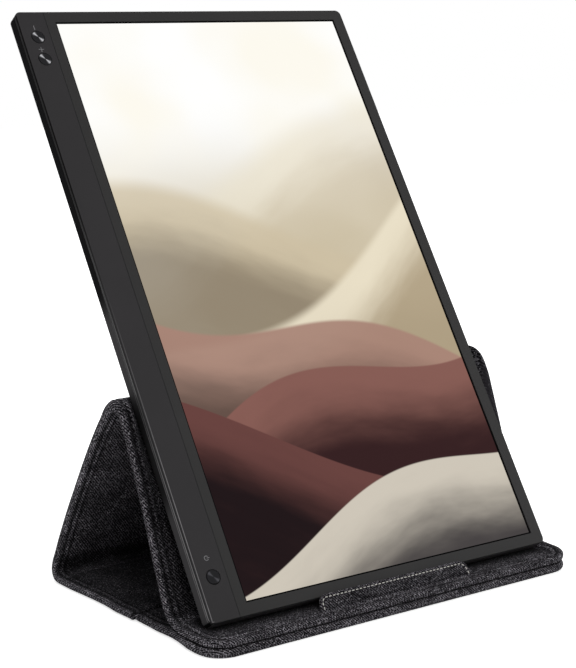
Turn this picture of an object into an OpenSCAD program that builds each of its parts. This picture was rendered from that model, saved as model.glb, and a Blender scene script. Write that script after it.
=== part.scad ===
// Portable 15.6-inch monitor standing in portrait on its folding fabric cover.
// Origin: middle of the cover's underside. +X to the right, +Y to the back, +Z up.

/* [Monitor] */
// Width of the monitor, across the short side
mon_w = 226.4; // [224:0.2:228]
// Height of the monitor, along the long side
mon_h = 360; // [358:0.5:362]
// Thickness of the monitor in the middle
mon_t = 10; // [9.6:0.1:10.4]
// Depth of the straight side wall, before the rear edge slopes in
side_depth = 8.2; // [8:0.1:8.4]
// Radius of the four outer corners
corner_r = 3.5; // [3:0.5:6]
// Lean of the monitor, back from upright
lean = 31.7; // [31:0.1:32]
// Depth of the front frame, from the front to the parting line
bezel_depth = 2.2; // [2:0.1:2.5]
// Wall of the moulded shells
shell_t = 1.5; // [1.2:0.1:1.6]

/* [Screen] */
// Lit width of the panel
lit_w = 193.6; // [192:0.2:194]
// Lit height of the panel
lit_h = 344.2; // [343:0.2:345]
// Distance from the left side to the lit area
lit_left = 24.4; // [24:0.1:25]
// Distance from the lower edge to the lit area
lit_bottom = 7.8; // [7.5:0.1:8.2]
// Black border round the lit area
border = 0.9; // [0.7:0.1:1.2]
// Depth of the glass behind the frame's face
glass_recess = 0.7; // [0.5:0.1:0.8]
// Width of the plain strip that carries the buttons
chin_w = 17.6; // [17:0.1:18]

/* [Buttons] */
// Radius of a button cap
button_r = 3.8; // [3.4:0.1:4]
// Gap round a button cap
button_gap = 0.3; // [0.2:0.05:0.35]
// Distance of the buttons from the left side
button_in = 9.7; // [9:0.1:10.5]
// Height of the power button above the lower edge
power_up = 23.4; // [20:0.1:26]
// Height of the plus button above the lower edge
plus_up = 328.8; // [326:0.1:331]
// Height of the minus button above the lower edge
minus_up = 343.2; // [341:0.1:346]

/* [Cover] */
// Width of the cover
cover_w = 243; // [241:0.5:246]
// Depth of the cover's base, front to back
cover_d = 172; // [170:0.5:174]
// Thickness of the base panels
base_t = 5.2; // [5:0.1:5.4]
// Thickness of the ledge that the monitor stands on
ledge_t = 3.9; // [3.7:0.1:4]
// Thickness of the back and support panels
panel_t = 4.6; // [4.4:0.1:4.8]
// Radius of the rounded front corners
cover_r = 13; // [11:0.5:15]
// Height of the ridge's hinge line
ridge_z = 109.6; // [109:0.1:110]
// Place of the ridge's hinge line, behind the middle
ridge_y = 1.3; // [1:0.1:1.6]
// Radius of the soft roll along the ridge
ridge_r = 8; // [7.8:0.1:8.2]
// Place of the crease across the base, behind the middle
crease_y = -5; // [-8:0.5:-2]
// Width of the crease
crease_w = 2.4; // [2:0.2:3]

/* [Stop tab] */
// Width of the tab in front of the monitor's lower edge
tab_w = 97.5; // [95:0.5:100]
// Length of the tab from its fold to its top edge
tab_l = 7.6; // [7.2:0.1:8]
// Thickness of the tab
tab_t = 1.6; // [1.4:0.1:1.7]
// Slope of the tab above the ledge
tab_slope = 52; // [50:1:54]

/* [Hidden] */
$fn = 48;
gap = 0.3;                  // room between pieces that move against each other
fit = 0.1;                  // room round a piece that is held inside another
eps = 0.01;

// ---- Cover: hinge lines in the YZ plane ----
base_front = -cover_d / 2;
rear_r = 5.2;               // soft roll at the rear fold
rear_fold = [cover_d / 2 - rear_r, rear_r + 0.1];
ridge = [ridge_y, ridge_z];
front_r = 2.6;              // soft roll where the support panel meets the ledge
ledge_z = base_t + gap;
ledge_top = ledge_z + ledge_t;
front_fold = [-42.3, ledge_z + front_r];
back_bow = [12.8, 13.6];    // how far the back panel's curve is drawn outwards, lower and upper end
back_reach = [0.05, 0.97];  // where along the panel it is drawn, as shares of its length
support_bow = [5.3, 14.4];  // the same for the support panel
support_reach = [0.3, 0.7];
board_t = 1.8;              // stiff board inside a padded panel
board_in = 9;               // board's distance from a panel's edges
curve_steps = 14;
magnet_r = 5;
magnet_t = 1.5;
magnet_x = [-80, 80];

// ---- Monitor: local frame, X across, Y up along the face, Z out of the face ----
mon_y = base_front + 13.5;
mon_z = 14;
back_inset = mon_t - side_depth + 0.4;
window_w = lit_w + 2 * border;
window_h = lit_h + 2 * border;
window_x = lit_left - border - mon_w / 2;
window_y = lit_bottom - border;
glass_lap = 2;              // glass reaches this far under the frame
glass_t = 0.8;
glass_z = -glass_recess - glass_t;
film_t = 0.4;
guide_t = 1.1;
reflector_t = 0.25;
tray_t = 0.4;
tray_wall = 0.5;
board_z = -6.3;             // underside of the circuit boards
pcb_t = 1;
chin_x = -mon_w / 2 + button_in;
flange_r = button_r + 0.9;
press = 0.5;                // travel of a button
cap_proud = 0.3;
screw_y = [62, 180, 296];
screw_x = -mon_w / 2 + 7.2;
port_x = -mon_w / 2 + 46;
port_z = -5.9;
port_w = 8.94;
port_h = 3.2;
port_l = 7.4;

// ---- Helpers: cover ----
function bezier(p, t) = pow(1 - t, 3) * p[0] + 3 * pow(1 - t, 2) * t * p[1]
    + 3 * (1 - t) * t * t * p[2] + pow(t, 3) * p[3];
function left_of(v) = [-v[1], v[0]] / norm(v);
// Middle line of a panel from a to b, drawn aside by bow at the two places of reach
function panel_line(a, b, bow, reach) = let (c = b - a, n = left_of(c),
    p = [a, a + reach[0] * c + bow[0] * n, a + reach[1] * c + bow[1] * n, b])
    [for (i = [0:curve_steps]) bezier(p, i / curve_steps)];
function tangent(line, i) = line[min(i + 1, len(line) - 1)] - line[max(i - 1, 0)];
// Closed outline of a strip of thickness t along a line
function strip(line, t) = concat(
    [for (i = [0:len(line) - 1]) line[i] + t / 2 * left_of(tangent(line, i))],
    [for (i = [len(line) - 1:-1:0]) line[i] - t / 2 * left_of(tangent(line, i))]);

back_line = panel_line(rear_fold, ridge, -back_bow, back_reach);
support_line = panel_line(front_fold, ridge, support_bow, support_reach);

// Extrudes a YZ outline across the cover
module across(w) {
    translate([-w / 2, 0, 0]) rotate([90, 0, 90]) linear_extrude(w) children();
}

// Round bar across the cover on a hinge line
module roll(at, r, w) {
    translate([-w / 2, at[0], at[1]]) rotate([0, 90, 0]) cylinder(r = r, h = w);
}

// Flat padded panel with half-round rims on its sides and front; x middle, y from front to back
module soft_panel(w, front, back, t, r) {
    rim = t / 2;
    ring = r - rim;
    translate([0, 0, rim]) {
        translate([0, 0, -rim]) linear_extrude(t) {
            translate([-w / 2 + r, front + rim]) square([w - 2 * r, back - front - rim]);
            translate([-w / 2 + rim, front + r]) square([w - t, back - front - r]);
            for (x = [-w / 2 + r, w / 2 - r]) translate([x, front + r]) circle(ring);
        }
        translate([-w / 2 + r, front + rim, 0]) rotate([0, 90, 0]) cylinder(r = rim, h = w - 2 * r);
        for (x = [-w / 2 + rim, w / 2 - rim])
            translate([x, front + r, 0]) rotate([-90, 0, 0]) cylinder(r = rim, h = back - front - r);
        for (side = [0, 1]) mirror([side, 0, 0]) translate([-w / 2 + r, front + r, 0])
            rotate([0, 0, 180]) rotate_extrude(angle = 90) translate([ring, 0]) circle(rim);
    }
}

// Thin flat board with rounded corners
module flat_board(w, front, back, t, r) {
    linear_extrude(t) {
        translate([-w / 2 + r, front]) square([w - 2 * r, back - front]);
        translate([-w / 2, front + r]) square([w, back - front - 2 * r]);
        for (x = [-w / 2 + r, w / 2 - r], y = [front + r, back - r]) translate([x, y]) circle(r);
    }
}

// Part of a line between two steps
function stretch(line, from, to) = [for (i = [from:to]) line[i]];

module magnets(y, z, r, t) {
    for (x = magnet_x) translate([x, y, z]) cylinder(r = r, h = t);
}

// ---- Cover: base ----
base_board_z = (base_t - board_t) / 2;
base_magnet_y = base_front + 24;
base_front_end = crease_y - crease_w / 2;
base_rear_start = crease_y + crease_w / 2;
base_rear_end = rear_fold[0] - rear_r - gap;

module base_board(front, back, grow) {
    translate([0, 0, base_board_z - grow])
        flat_board(cover_w - 2 * board_in + 2 * grow, front - grow, back + grow, board_t + 2 * grow, 4 + grow);
}

module base_front_sleeve() {
    color("#35353a") difference() {
        soft_panel(cover_w, base_front, base_front_end, base_t, cover_r);
        base_board(base_front + board_in, base_front_end - 4, fit);
    }
}

module base_rear_sleeve() {
    rim = base_t / 2;
    color("#35353a") difference() {
        union() {
            translate([-cover_w / 2 + rim, base_rear_start, 0])
                cube([cover_w - base_t, base_rear_end - base_rear_start, base_t]);
            for (x = [-cover_w / 2 + rim, cover_w / 2 - rim]) translate([x, base_rear_start, rim])
                rotate([-90, 0, 0]) cylinder(r = rim, h = base_rear_end - base_rear_start);
        }
        base_board(base_rear_start + 4, base_rear_end - 4, fit);
    }
}

// Thin sewn fold between the two base panels
module base_crease() {
    depth = 1.6;
    color("#2a2a2e") translate([-cover_w / 2 + 1.5, base_front_end, 0.8])
        cube([cover_w - 3, crease_w, base_t - 0.8 - depth]);
}

module base_front_board() {
    color("#8a8580") difference() {
        base_board(base_front + board_in, base_front_end - 4, 0);
        magnets(base_magnet_y, base_board_z - eps, magnet_r + fit, board_t + 2 * eps);
    }
}

module base_rear_board() {
    color("#8a8580") base_board(base_rear_start + 4, base_rear_end - 4, 0);
}

module base_magnets() {
    color("#b5b5ba") magnets(base_magnet_y, base_board_z + 0.15, magnet_r, magnet_t);
}

module rear_fold_roll() {
    color("#303034") roll(rear_fold, rear_r, cover_w - 2);
}

// ---- Cover: back panel ----
// Steps of the panel line between which the stiff board runs
back_board_line = stretch(back_line, 2, curve_steps - 4);

module back_sleeve() {
    color("#35353a") difference() {
        across(cover_w - 1) polygon(strip(back_line, panel_t));
        roll(rear_fold, rear_r + gap, cover_w);
        roll(ridge, ridge_r + gap, cover_w);
        across(cover_w - 2 * board_in + 2 * fit) polygon(strip(back_board_line, board_t + 2 * fit));
    }
}

module back_board() {
    color("#8a8580") across(cover_w - 2 * board_in)
        polygon(strip(back_board_line, board_t));
}

// ---- Cover: support panel and ridge ----
// The stiff board stops below the soft stretch that the monitor presses on
board_top_step = 8;
support_board_line = stretch(support_line, 1, board_top_step);

// Everything in front of the monitor's rear face, with room, between its two sides
module monitor_room(side_room) {
    on_monitor() translate([-mon_w / 2 - side_room, -20, -mon_t - gap])
        cube([mon_w + 2 * side_room, 250, 60]);
}

module support_sleeve() {
    color("#35353a") difference() {
        across(cover_w - 1) polygon(strip(support_line, panel_t));
        roll(front_fold, front_r + gap + 0.3, cover_w);
        roll(ridge, ridge_r + eps, cover_w);
        monitor_room(2);
        across(cover_w - 2 * board_in + 2 * fit) polygon(strip(support_board_line, board_t + 2 * fit));
    }
}

module support_board() {
    color("#8a8580") across(cover_w - 2 * board_in)
        polygon(strip(support_board_line, board_t));
}

// Soft roll along the top, pressed flat where the monitor leans on it
module ridge_roll() {
    color("#3a3a3f") difference() {
        roll(ridge, ridge_r, cover_w - 1);
        monitor_room(1);
    }
}

// ---- Cover: ledge ----
ledge_end = front_fold[0] - front_r - gap - 0.3;
ledge_board_t = 1.5;
ledge_board_z = ledge_z + (ledge_t - ledge_board_t) / 2;
ledge_magnet_y = base_magnet_y;

module ledge_inner(grow) {
    translate([0, 0, ledge_board_z - grow])
        flat_board(cover_w - 2 * board_in + 2 * grow, base_front + board_in - grow, ledge_end - 3 + grow,
            ledge_board_t + 2 * grow, 4 + grow);
}

module ledge_sleeve() {
    color("#3a3a3f") difference() {
        translate([0, 0, ledge_z]) soft_panel(cover_w, base_front, ledge_end, ledge_t, cover_r);
        ledge_inner(fit);
    }
}

module ledge_board() {
    color("#8a8580") difference() {
        ledge_inner(0);
        magnets(ledge_magnet_y, ledge_board_z - eps, magnet_r + fit, ledge_board_t + 2 * eps);
    }
}

module ledge_magnets() {
    color("#b5b5ba") magnets(ledge_magnet_y, ledge_board_z, magnet_r, ledge_board_t);
}

module front_fold_roll() {
    color("#303034") roll(front_fold, front_r, cover_w - 3);
}

// ---- Cover: stop tab ----
tab_r = 4;
tab_fold = [base_front + 6.8, ledge_top + tab_t / 2 + 0.2];
tab_core_t = 0.5;
stitch_in = 2.2;
stitch_l = 1.4;
stitch_pitch = 2.2;
stitch_r = 0.22;

// Tab's own frame: X across, Y from its fold to its top edge, Z towards the user
module on_tab() {
    translate([0, tab_fold[0], tab_fold[1]]) rotate([tab_slope, 0, 0]) children();
}

module tab_outline() {
    translate([-tab_w / 2 + tab_r, 0]) square([tab_w - 2 * tab_r, tab_l]);
    translate([-tab_w / 2, 0]) square([tab_w, tab_l - tab_r]);
    for (x = [-tab_w / 2 + tab_r, tab_w / 2 - tab_r]) translate([x, tab_l - tab_r]) circle(tab_r);
}

module tab_sleeve() {
    color("#2e2e33") difference() {
        union() {
            on_tab() translate([0, 0, -tab_t / 2]) linear_extrude(tab_t) tab_outline();
            translate([-tab_w / 2, tab_fold[0], tab_fold[1]]) rotate([0, 90, 0])
                cylinder(r = tab_t / 2, h = tab_w);
        }
        on_tab() tab_core(fit / 2);
    }
}

module tab_core(grow) {
    translate([-tab_w / 2 + 4 - grow, 1 - grow, -tab_core_t / 2 - grow])
        cube([tab_w - 8 + 2 * grow, tab_l - 4.5 + 2 * grow, tab_core_t + 2 * grow]);
}

module tab_stiffener() {
    color("#c9c4b8") on_tab() tab_core(0);
}

// One stitch lying on the tab's front, along X
module stitch() {
    translate([-stitch_l / 2, 0, tab_t / 2 + stitch_r]) rotate([0, 90, 0])
        cylinder(r = stitch_r, h = stitch_l, $fn = 8);
}

module tab_stitching() {
    run = tab_w / 2 - tab_r;
    count = floor(run / stitch_pitch);
    turn_r = tab_r - stitch_in;
    color("#b9b6b2") on_tab() {
        for (i = [-count:count]) translate([i * stitch_pitch, tab_l - stitch_in, 0]) stitch();
        for (side = [0, 1]) mirror([side, 0, 0]) {
            translate([run, tab_l - tab_r, 0]) rotate([0, 0, 45]) translate([0, turn_r, 0])
                rotate([0, 0, -90]) stitch();
            translate([run + turn_r, 1.6, 0]) rotate([0, 0, 90]) stitch();
        }
    }
}

// ---- Monitor ----
// Places children in the monitor's local frame
module on_monitor() {
    translate([0, mon_y, mon_z]) rotate([90 - lean, 0, 0]) children();
}

module face_outline(inset, r) {
    x = mon_w / 2 - inset;
    translate([-x + r, inset]) square([2 * (x - r), mon_h - 2 * inset]);
    translate([-x, inset + r]) square([2 * x, mon_h - 2 * inset - 2 * r]);
    for (px = [-x + r, x - r], py = [inset + r, mon_h - inset - r]) translate([px, py]) circle(r);
}

module box(x0, y0, z0, w, h, t) {
    translate([x0, y0, z0]) cube([w, h, t]);
}

screw_boss_r = 2.6;
screw_r = 0.8;
screw_head_r = 1.9;
screw_head_t = 0.9;
screw_l = 7.4;
screw_sunk = 0.1;           // depth of a screw head below the rear face
rear_boss_h = 2.6;
floor_z = -mon_t + shell_t;
rib_h = 1.2;
reveal = 0.35;              // groove round the sides, under the front frame

// Moulded tray: straight sides, rear edge sloping in, ribs, screw bosses and the socket's cut-out
module rear_cover() {
    color("#3a3b3d") on_monitor() difference() {
        union() {
            difference() {
                hull() {
                    translate([0, 0, -side_depth]) linear_extrude(side_depth - bezel_depth)
                        face_outline(0, corner_r);
                    translate([0, 0, -mon_t]) linear_extrude(eps) face_outline(back_inset, corner_r - 1);
                }
                hull() {
                    translate([0, 0, -side_depth + 0.4]) linear_extrude(side_depth)
                        face_outline(shell_t, corner_r - shell_t);
                    translate([0, 0, floor_z]) linear_extrude(eps)
                        face_outline(back_inset + shell_t, corner_r - shell_t - 1);
                }
            }
            for (y = screw_y) translate([screw_x, y, floor_z - eps]) cylinder(r = screw_boss_r, h = rear_boss_h + eps);
            for (y = [40:40:320]) box(-mon_w / 2 + 14, y, floor_z - eps, mon_w - 28, 1, rib_h);
            for (x = [-60, 0, 60]) box(x, 14, floor_z - eps, 1, mon_h - 28, rib_h);
            for (x = [-108.5, 104.5], y = [100, 260]) box(x, y, floor_z - eps, 4, 1.2, 2);
        }
        translate([0, 0, -bezel_depth - reveal]) linear_extrude(reveal + eps) difference() {
            face_outline(-1, corner_r);
            face_outline(reveal, corner_r - reveal);
        }
        for (y = screw_y) translate([screw_x, y, -mon_t - eps]) {
            cylinder(r = screw_r + 0.15, h = 8);
            cylinder(r = screw_head_r + 0.15, h = screw_head_t + screw_sunk + eps);
        }
        port_opening();
    }
}

// Rounded slot through the top wall for the plug
module port_opening() {
    half = (port_w - port_h) / 2;
    for (x = [port_x - half, port_x + half]) translate([x, mon_h + 1, port_z]) rotate([90, 0, 0])
        cylinder(r = port_h / 2 + 0.15, h = 12);
    box(port_x - half, mon_h - 11, port_z - port_h / 2 - 0.15, 2 * half, 12, port_h + 0.3);
}

// Front frame round the glass, with a rim down to the parting line and snap hooks inside
module front_bezel() {
    color("#3c3c3d") on_monitor() difference() {
        union() {
            difference() {
                translate([0, 0, -bezel_depth]) linear_extrude(bezel_depth - 0.5) face_outline(0, corner_r);
                translate([0, 0, -bezel_depth - eps]) linear_extrude(bezel_depth - shell_t + eps)
                    face_outline(shell_t, corner_r - shell_t);
            }
            hull() {
                translate([0, 0, -0.6]) linear_extrude(eps) face_outline(0, corner_r);
                translate([0, 0, -eps]) linear_extrude(eps) face_outline(0.5, corner_r - 0.5);
            }
            for (y = [50:52:310]) snap_hook(mon_w / 2 - shell_t - 1.15, y);
            for (x = [-70:46:68]) rotate([0, 0, 90]) snap_hook(shell_t + 0.15, -x);
        }
        box(window_x, window_y, -bezel_depth - 1, window_w, window_h, bezel_depth + 2);
        glass_seat();
        chin_cut(0.15);
    }
}

module snap_hook(x, y) {
    translate([x, y, -4.6]) cube([1, 7, 3.2]);
}

// Step under the frame in which the glass lies
module glass_seat() {
    box(window_x - glass_lap - fit, window_y - glass_lap - fit, -bezel_depth - 1,
        window_w + 2 * (glass_lap + fit), window_h + 2 * (glass_lap + fit), bezel_depth + 1 - glass_recess);
}

module chin_cut(room) {
    box(-mon_w / 2 - 1, -1, -shell_t - 0.05, chin_w + 1 + room, mon_h + 2, shell_t + 2);
}

// Plain strip beside the screen with the three button holes
module chin_cover() {
    color("#363435") on_monitor() difference() {
        intersection() {
            union() {
                translate([0, 0, -shell_t + 0.05]) linear_extrude(shell_t - 0.55) face_outline(0, corner_r);
                hull() {
                    translate([0, 0, -0.5]) linear_extrude(eps) face_outline(0, corner_r);
                    translate([0, 0, -eps]) linear_extrude(eps) face_outline(0.5, corner_r - 0.5);
                }
            }
            box(-mon_w / 2 - 1, -1, -shell_t, chin_w + 1, mon_h + 2, shell_t + 1);
        }
        for (y = [power_up, plus_up, minus_up]) translate([chin_x, y, -shell_t - 1])
            cylinder(r = button_r + button_gap, h = shell_t + 2);
    }
    boss_bottom = floor_z + rear_boss_h;
    color("#363435") on_monitor() for (y = screw_y) translate([screw_x, y, boss_bottom]) difference() {
        cylinder(r = screw_boss_r, h = -shell_t + 0.05 - boss_bottom);
        translate([0, 0, -eps]) cylinder(r = screw_r, h = screw_l - mon_t + screw_sunk - boss_bottom + eps);
    }
}

module screen_sheet(grow, z, t) {
    box(window_x - grow, window_y - grow, z, window_w + 2 * grow, window_h + 2 * grow, t);
}

module lcd_glass() {
    color("#15161a") on_monitor() screen_sheet(glass_lap, glass_z, glass_t);
}

diffuser_z = glass_z - 0.45 - film_t;
guide_z = diffuser_z - 0.05 - guide_t;
reflector_z = guide_z - 0.05 - reflector_t;
tray_z = reflector_z - 0.05 - tray_t;

// Foam frame between the glass and the light sheets
module bezel_gasket() {
    color("#222222") on_monitor() difference() {
        screen_sheet(glass_lap - 0.2, glass_z - 0.4, 0.35);
        screen_sheet(-0.6, glass_z - 1, 2);
    }
}

module diffuser_sheet() {
    color("#f2f2ec") on_monitor() screen_sheet(0.6, diffuser_z, film_t);
}

led_h = 2.5;
module light_guide() {
    color("#dfeef2") on_monitor() box(window_x - 0.6, window_y + led_h, guide_z,
        window_w + 1.2, window_h + 0.6 - led_h, guide_t);
}

module reflector_sheet() {
    color("#ffffff") on_monitor() screen_sheet(0.6, reflector_z, reflector_t);
}

// Strip of light sources along the lower edge of the light guide
module led_bar() {
    color("#f5e9a8") on_monitor() {
        box(window_x, window_y - 0.5, guide_z, window_w, 0.6, guide_t);
        for (i = [0:23]) box(window_x + 4 + i * 8, window_y + 0.1, guide_z + 0.1, 3.5, 1.8, 0.8);
    }
}

// Pressed metal tray that holds the light sheets
module lcd_frame() {
    color("#9a9ca0") on_monitor() difference() {
        screen_sheet(0.8 + tray_wall, tray_z, glass_z - 0.45 - tray_z);
        screen_sheet(0.8, tray_z + tray_t, 6);
        for (x = [-60, 0, 60], y = [60, 300]) translate([x, y, tray_z - 1]) cylinder(r = 4, h = 2);
    }
}

driver_w = 150;
module panel_driver_board() {
    color("#2f6b3a") on_monitor() box(-driver_w / 2 + 10, 8, board_z, driver_w, 14, pcb_t);
}

main_x = -mon_w / 2 + 26;
main_y = 258;
main_w = 58;
main_h = 92;
main_hole_in = 3.5;
main_holes = [for (x = [main_x + main_hole_in, main_x + main_w - main_hole_in],
    y = [main_y + main_hole_in, main_y + main_h - main_hole_in]) [x, y]];

module main_board() {
    color("#2f6b3a") on_monitor() difference() {
        box(main_x, main_y, board_z, main_w, main_h, pcb_t);
        for (p = main_holes) translate([p[0], p[1], board_z - 1]) cylinder(r = 1.1, h = pcb_t + 2);
        box(port_x - port_w / 2 - 0.2, mon_h - port_l - 2.2, board_z - 1, port_w + 0.4, 12, 3);
    }
}

module shield_can() {
    can_w = 26;
    can_h = 34;
    color("#c4c7cb") on_monitor() difference() {
        box(main_x + 14, main_y + 20, board_z + pcb_t, can_w, can_h, 0.75);
        box(main_x + 14.2, main_y + 20.2, board_z + pcb_t - 1, can_w - 0.4, can_h - 0.4, 1.5);
    }
}

// Socket shell with its tongue
module usb_c_port() {
    half = (port_w - port_h) / 2;
    wall = 0.3;
    color("#c9ccd0") on_monitor() translate([port_x, mon_h - 0.6, port_z]) rotate([90, 0, 0]) {
        difference() {
            linear_extrude(port_l) slot_outline(half, port_h / 2);
            translate([0, 0, -1]) linear_extrude(port_l) slot_outline(half, port_h / 2 - wall);
        }
        translate([-3.3, -0.35, 1]) cube([6.6, 0.7, port_l - 1.5]);
    }
}

module slot_outline(half, r) {
    for (x = [-half, half]) translate([x, 0]) circle(r);
    translate([-half, -r]) square([2 * half, 2 * r]);
}

// Flat cable between the driver board and the main board
module panel_flex() {
    color("#b5722f") on_monitor()
        box(main_x + 20, 22 + gap, board_z + 0.4, 16, main_y - 22 - 2 * gap, 0.2);
}

key_board_z = board_z;
module key_board() {
    color("#2f6b3a") on_monitor()
        box(chin_x - 6, plus_up - 9, key_board_z, 12, minus_up - plus_up + 18, pcb_t);
}

module power_key_board() {
    color("#2f6b3a") on_monitor() box(chin_x - 6, power_up - 9, key_board_z, 12, 18, pcb_t);
}

flange_z = -shell_t - 0.65;
stem_z = flange_z - 0.5;
switch_top = stem_z - press - 0.15;

module key_switches() {
    body = 4.5;
    color("#1d1d1f") on_monitor() for (y = [power_up, plus_up, minus_up]) {
        box(chin_x - body / 2, y - body / 2, key_board_z + pcb_t, body, body, 1);
        translate([chin_x, y, key_board_z + pcb_t + 1])
            cylinder(r = 1.2, h = switch_top - key_board_z - pcb_t - 1);
    }
}

module case_screws() {
    color("#6d6f73") on_monitor() for (y = screw_y) translate([screw_x, y, -mon_t + screw_sunk]) difference() {
        union() {
            cylinder(r = screw_head_r, h = screw_head_t);
            cylinder(r = screw_r, h = screw_l);
        }
        translate([0, 0, -eps]) cylinder(r = 0.8, h = 0.5, $fn = 6);
    }
}

module board_screws() {
    color("#8d9095") on_monitor() for (p = main_holes) translate([p[0], p[1], board_z + pcb_t]) {
        cylinder(r = 1.8, h = 0.7);
        translate([0, 0, -pcb_t - 0.9]) cylinder(r = 0.9, h = pcb_t + 1);
    }
}

// Round cap with a rim that keeps it in its hole and a stem over the switch
module button(y) {
    on_monitor() translate([chin_x, y, 0]) {
        translate([0, 0, flange_z + 0.5]) cylinder(r = button_r, h = cap_proud - 0.25 - flange_z - 0.5);
        translate([0, 0, cap_proud - 0.25]) cylinder(r1 = button_r, r2 = button_r - 0.25, h = 0.25);
        translate([0, 0, flange_z]) cylinder(r = flange_r, h = 0.5);
        translate([0, 0, stem_z]) cylinder(r = 1.5, h = 0.5);
    }
}

module power_button() { color("#47464a") button(power_up); }
module minus_button() { color("#8e8d90") button(minus_up); }
module plus_button() { color("#8e8d90") button(plus_up); }

base_front_sleeve();
base_rear_sleeve();
base_crease();
base_front_board();
base_rear_board();
base_magnets();
rear_fold_roll();
back_sleeve();
back_board();
support_sleeve();
support_board();
ridge_roll();
ledge_sleeve();
ledge_board();
ledge_magnets();
front_fold_roll();
tab_sleeve();
tab_stiffener();
tab_stitching();
rear_cover();
front_bezel();
chin_cover();
lcd_glass();
bezel_gasket();
diffuser_sheet();
light_guide();
reflector_sheet();
led_bar();
lcd_frame();
panel_driver_board();
main_board();
shield_can();
usb_c_port();
panel_flex();
key_board();
power_key_board();
key_switches();
case_screws();
board_screws();
power_button();
minus_button();
plus_button();
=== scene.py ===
"""Portable monitor in portrait on its folded fabric cover: forms, finishes, light and camera.

All lengths are in metres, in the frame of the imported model: +X to the right, +Y to the back, +Z up.
"""
import logging
import math
from dataclasses import dataclass, field
from enum import Enum
from typing import NamedTuple

import bpy
import numpy as np
from mathutils import Matrix, Vector


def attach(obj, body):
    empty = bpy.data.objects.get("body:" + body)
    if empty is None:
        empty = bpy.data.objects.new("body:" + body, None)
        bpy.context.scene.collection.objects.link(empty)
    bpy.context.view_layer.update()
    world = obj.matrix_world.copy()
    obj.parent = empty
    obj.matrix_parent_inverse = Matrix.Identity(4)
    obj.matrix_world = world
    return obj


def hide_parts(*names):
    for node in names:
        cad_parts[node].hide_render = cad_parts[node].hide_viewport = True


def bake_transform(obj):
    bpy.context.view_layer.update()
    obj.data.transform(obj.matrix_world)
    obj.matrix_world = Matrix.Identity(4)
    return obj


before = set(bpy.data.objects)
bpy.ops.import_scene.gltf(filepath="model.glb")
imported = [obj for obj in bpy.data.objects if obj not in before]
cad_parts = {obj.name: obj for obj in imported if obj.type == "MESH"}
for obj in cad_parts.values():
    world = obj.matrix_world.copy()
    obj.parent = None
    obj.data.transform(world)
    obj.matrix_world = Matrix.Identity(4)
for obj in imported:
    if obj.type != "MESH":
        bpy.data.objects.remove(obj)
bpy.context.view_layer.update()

LOG = logging.getLogger("monitor_on_cover")
MM = 0.001
Socket = bpy.types.NodeSocket
Obj = bpy.types.Object

# Monitor's own frame: its lower front edge, and how far it leans back from upright
FOOT = Vector((0.0, -72.5 * MM, 14 * MM))
LEAN = math.radians(31.7)
RIGHT = Vector((1.0, 0.0, 0.0))
UP_FACE = Vector((0.0, math.sin(LEAN), math.cos(LEAN)))
OUT_OF_FACE = Vector((0.0, -math.cos(LEAN), math.sin(LEAN)))
MONITOR_W = 226.4 * MM
MONITOR_H = 360 * MM
MONITOR_T = 10 * MM
LIT_W = 193.6 * MM
LIT_H = 344.2 * MM
LIT_LEFT = 24.4 * MM
LIT_BOTTOM = 7.8 * MM
CHIN_W = 17.6 * MM
BUTTON_IN = 9.7 * MM
POWER_UP = 23.4 * MM
PLUS_UP = 328.8 * MM
MINUS_UP = 343.2 * MM
BUTTON_R = 3.8 * MM


def on_face(across: float, up: float, out: float = 0.0) -> Vector:
    """The point so far across from the monitor's left side, up from its lower edge and out of its face."""
    return FOOT + RIGHT * (across - MONITOR_W / 2) + UP_FACE * up + OUT_OF_FACE * out


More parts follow.
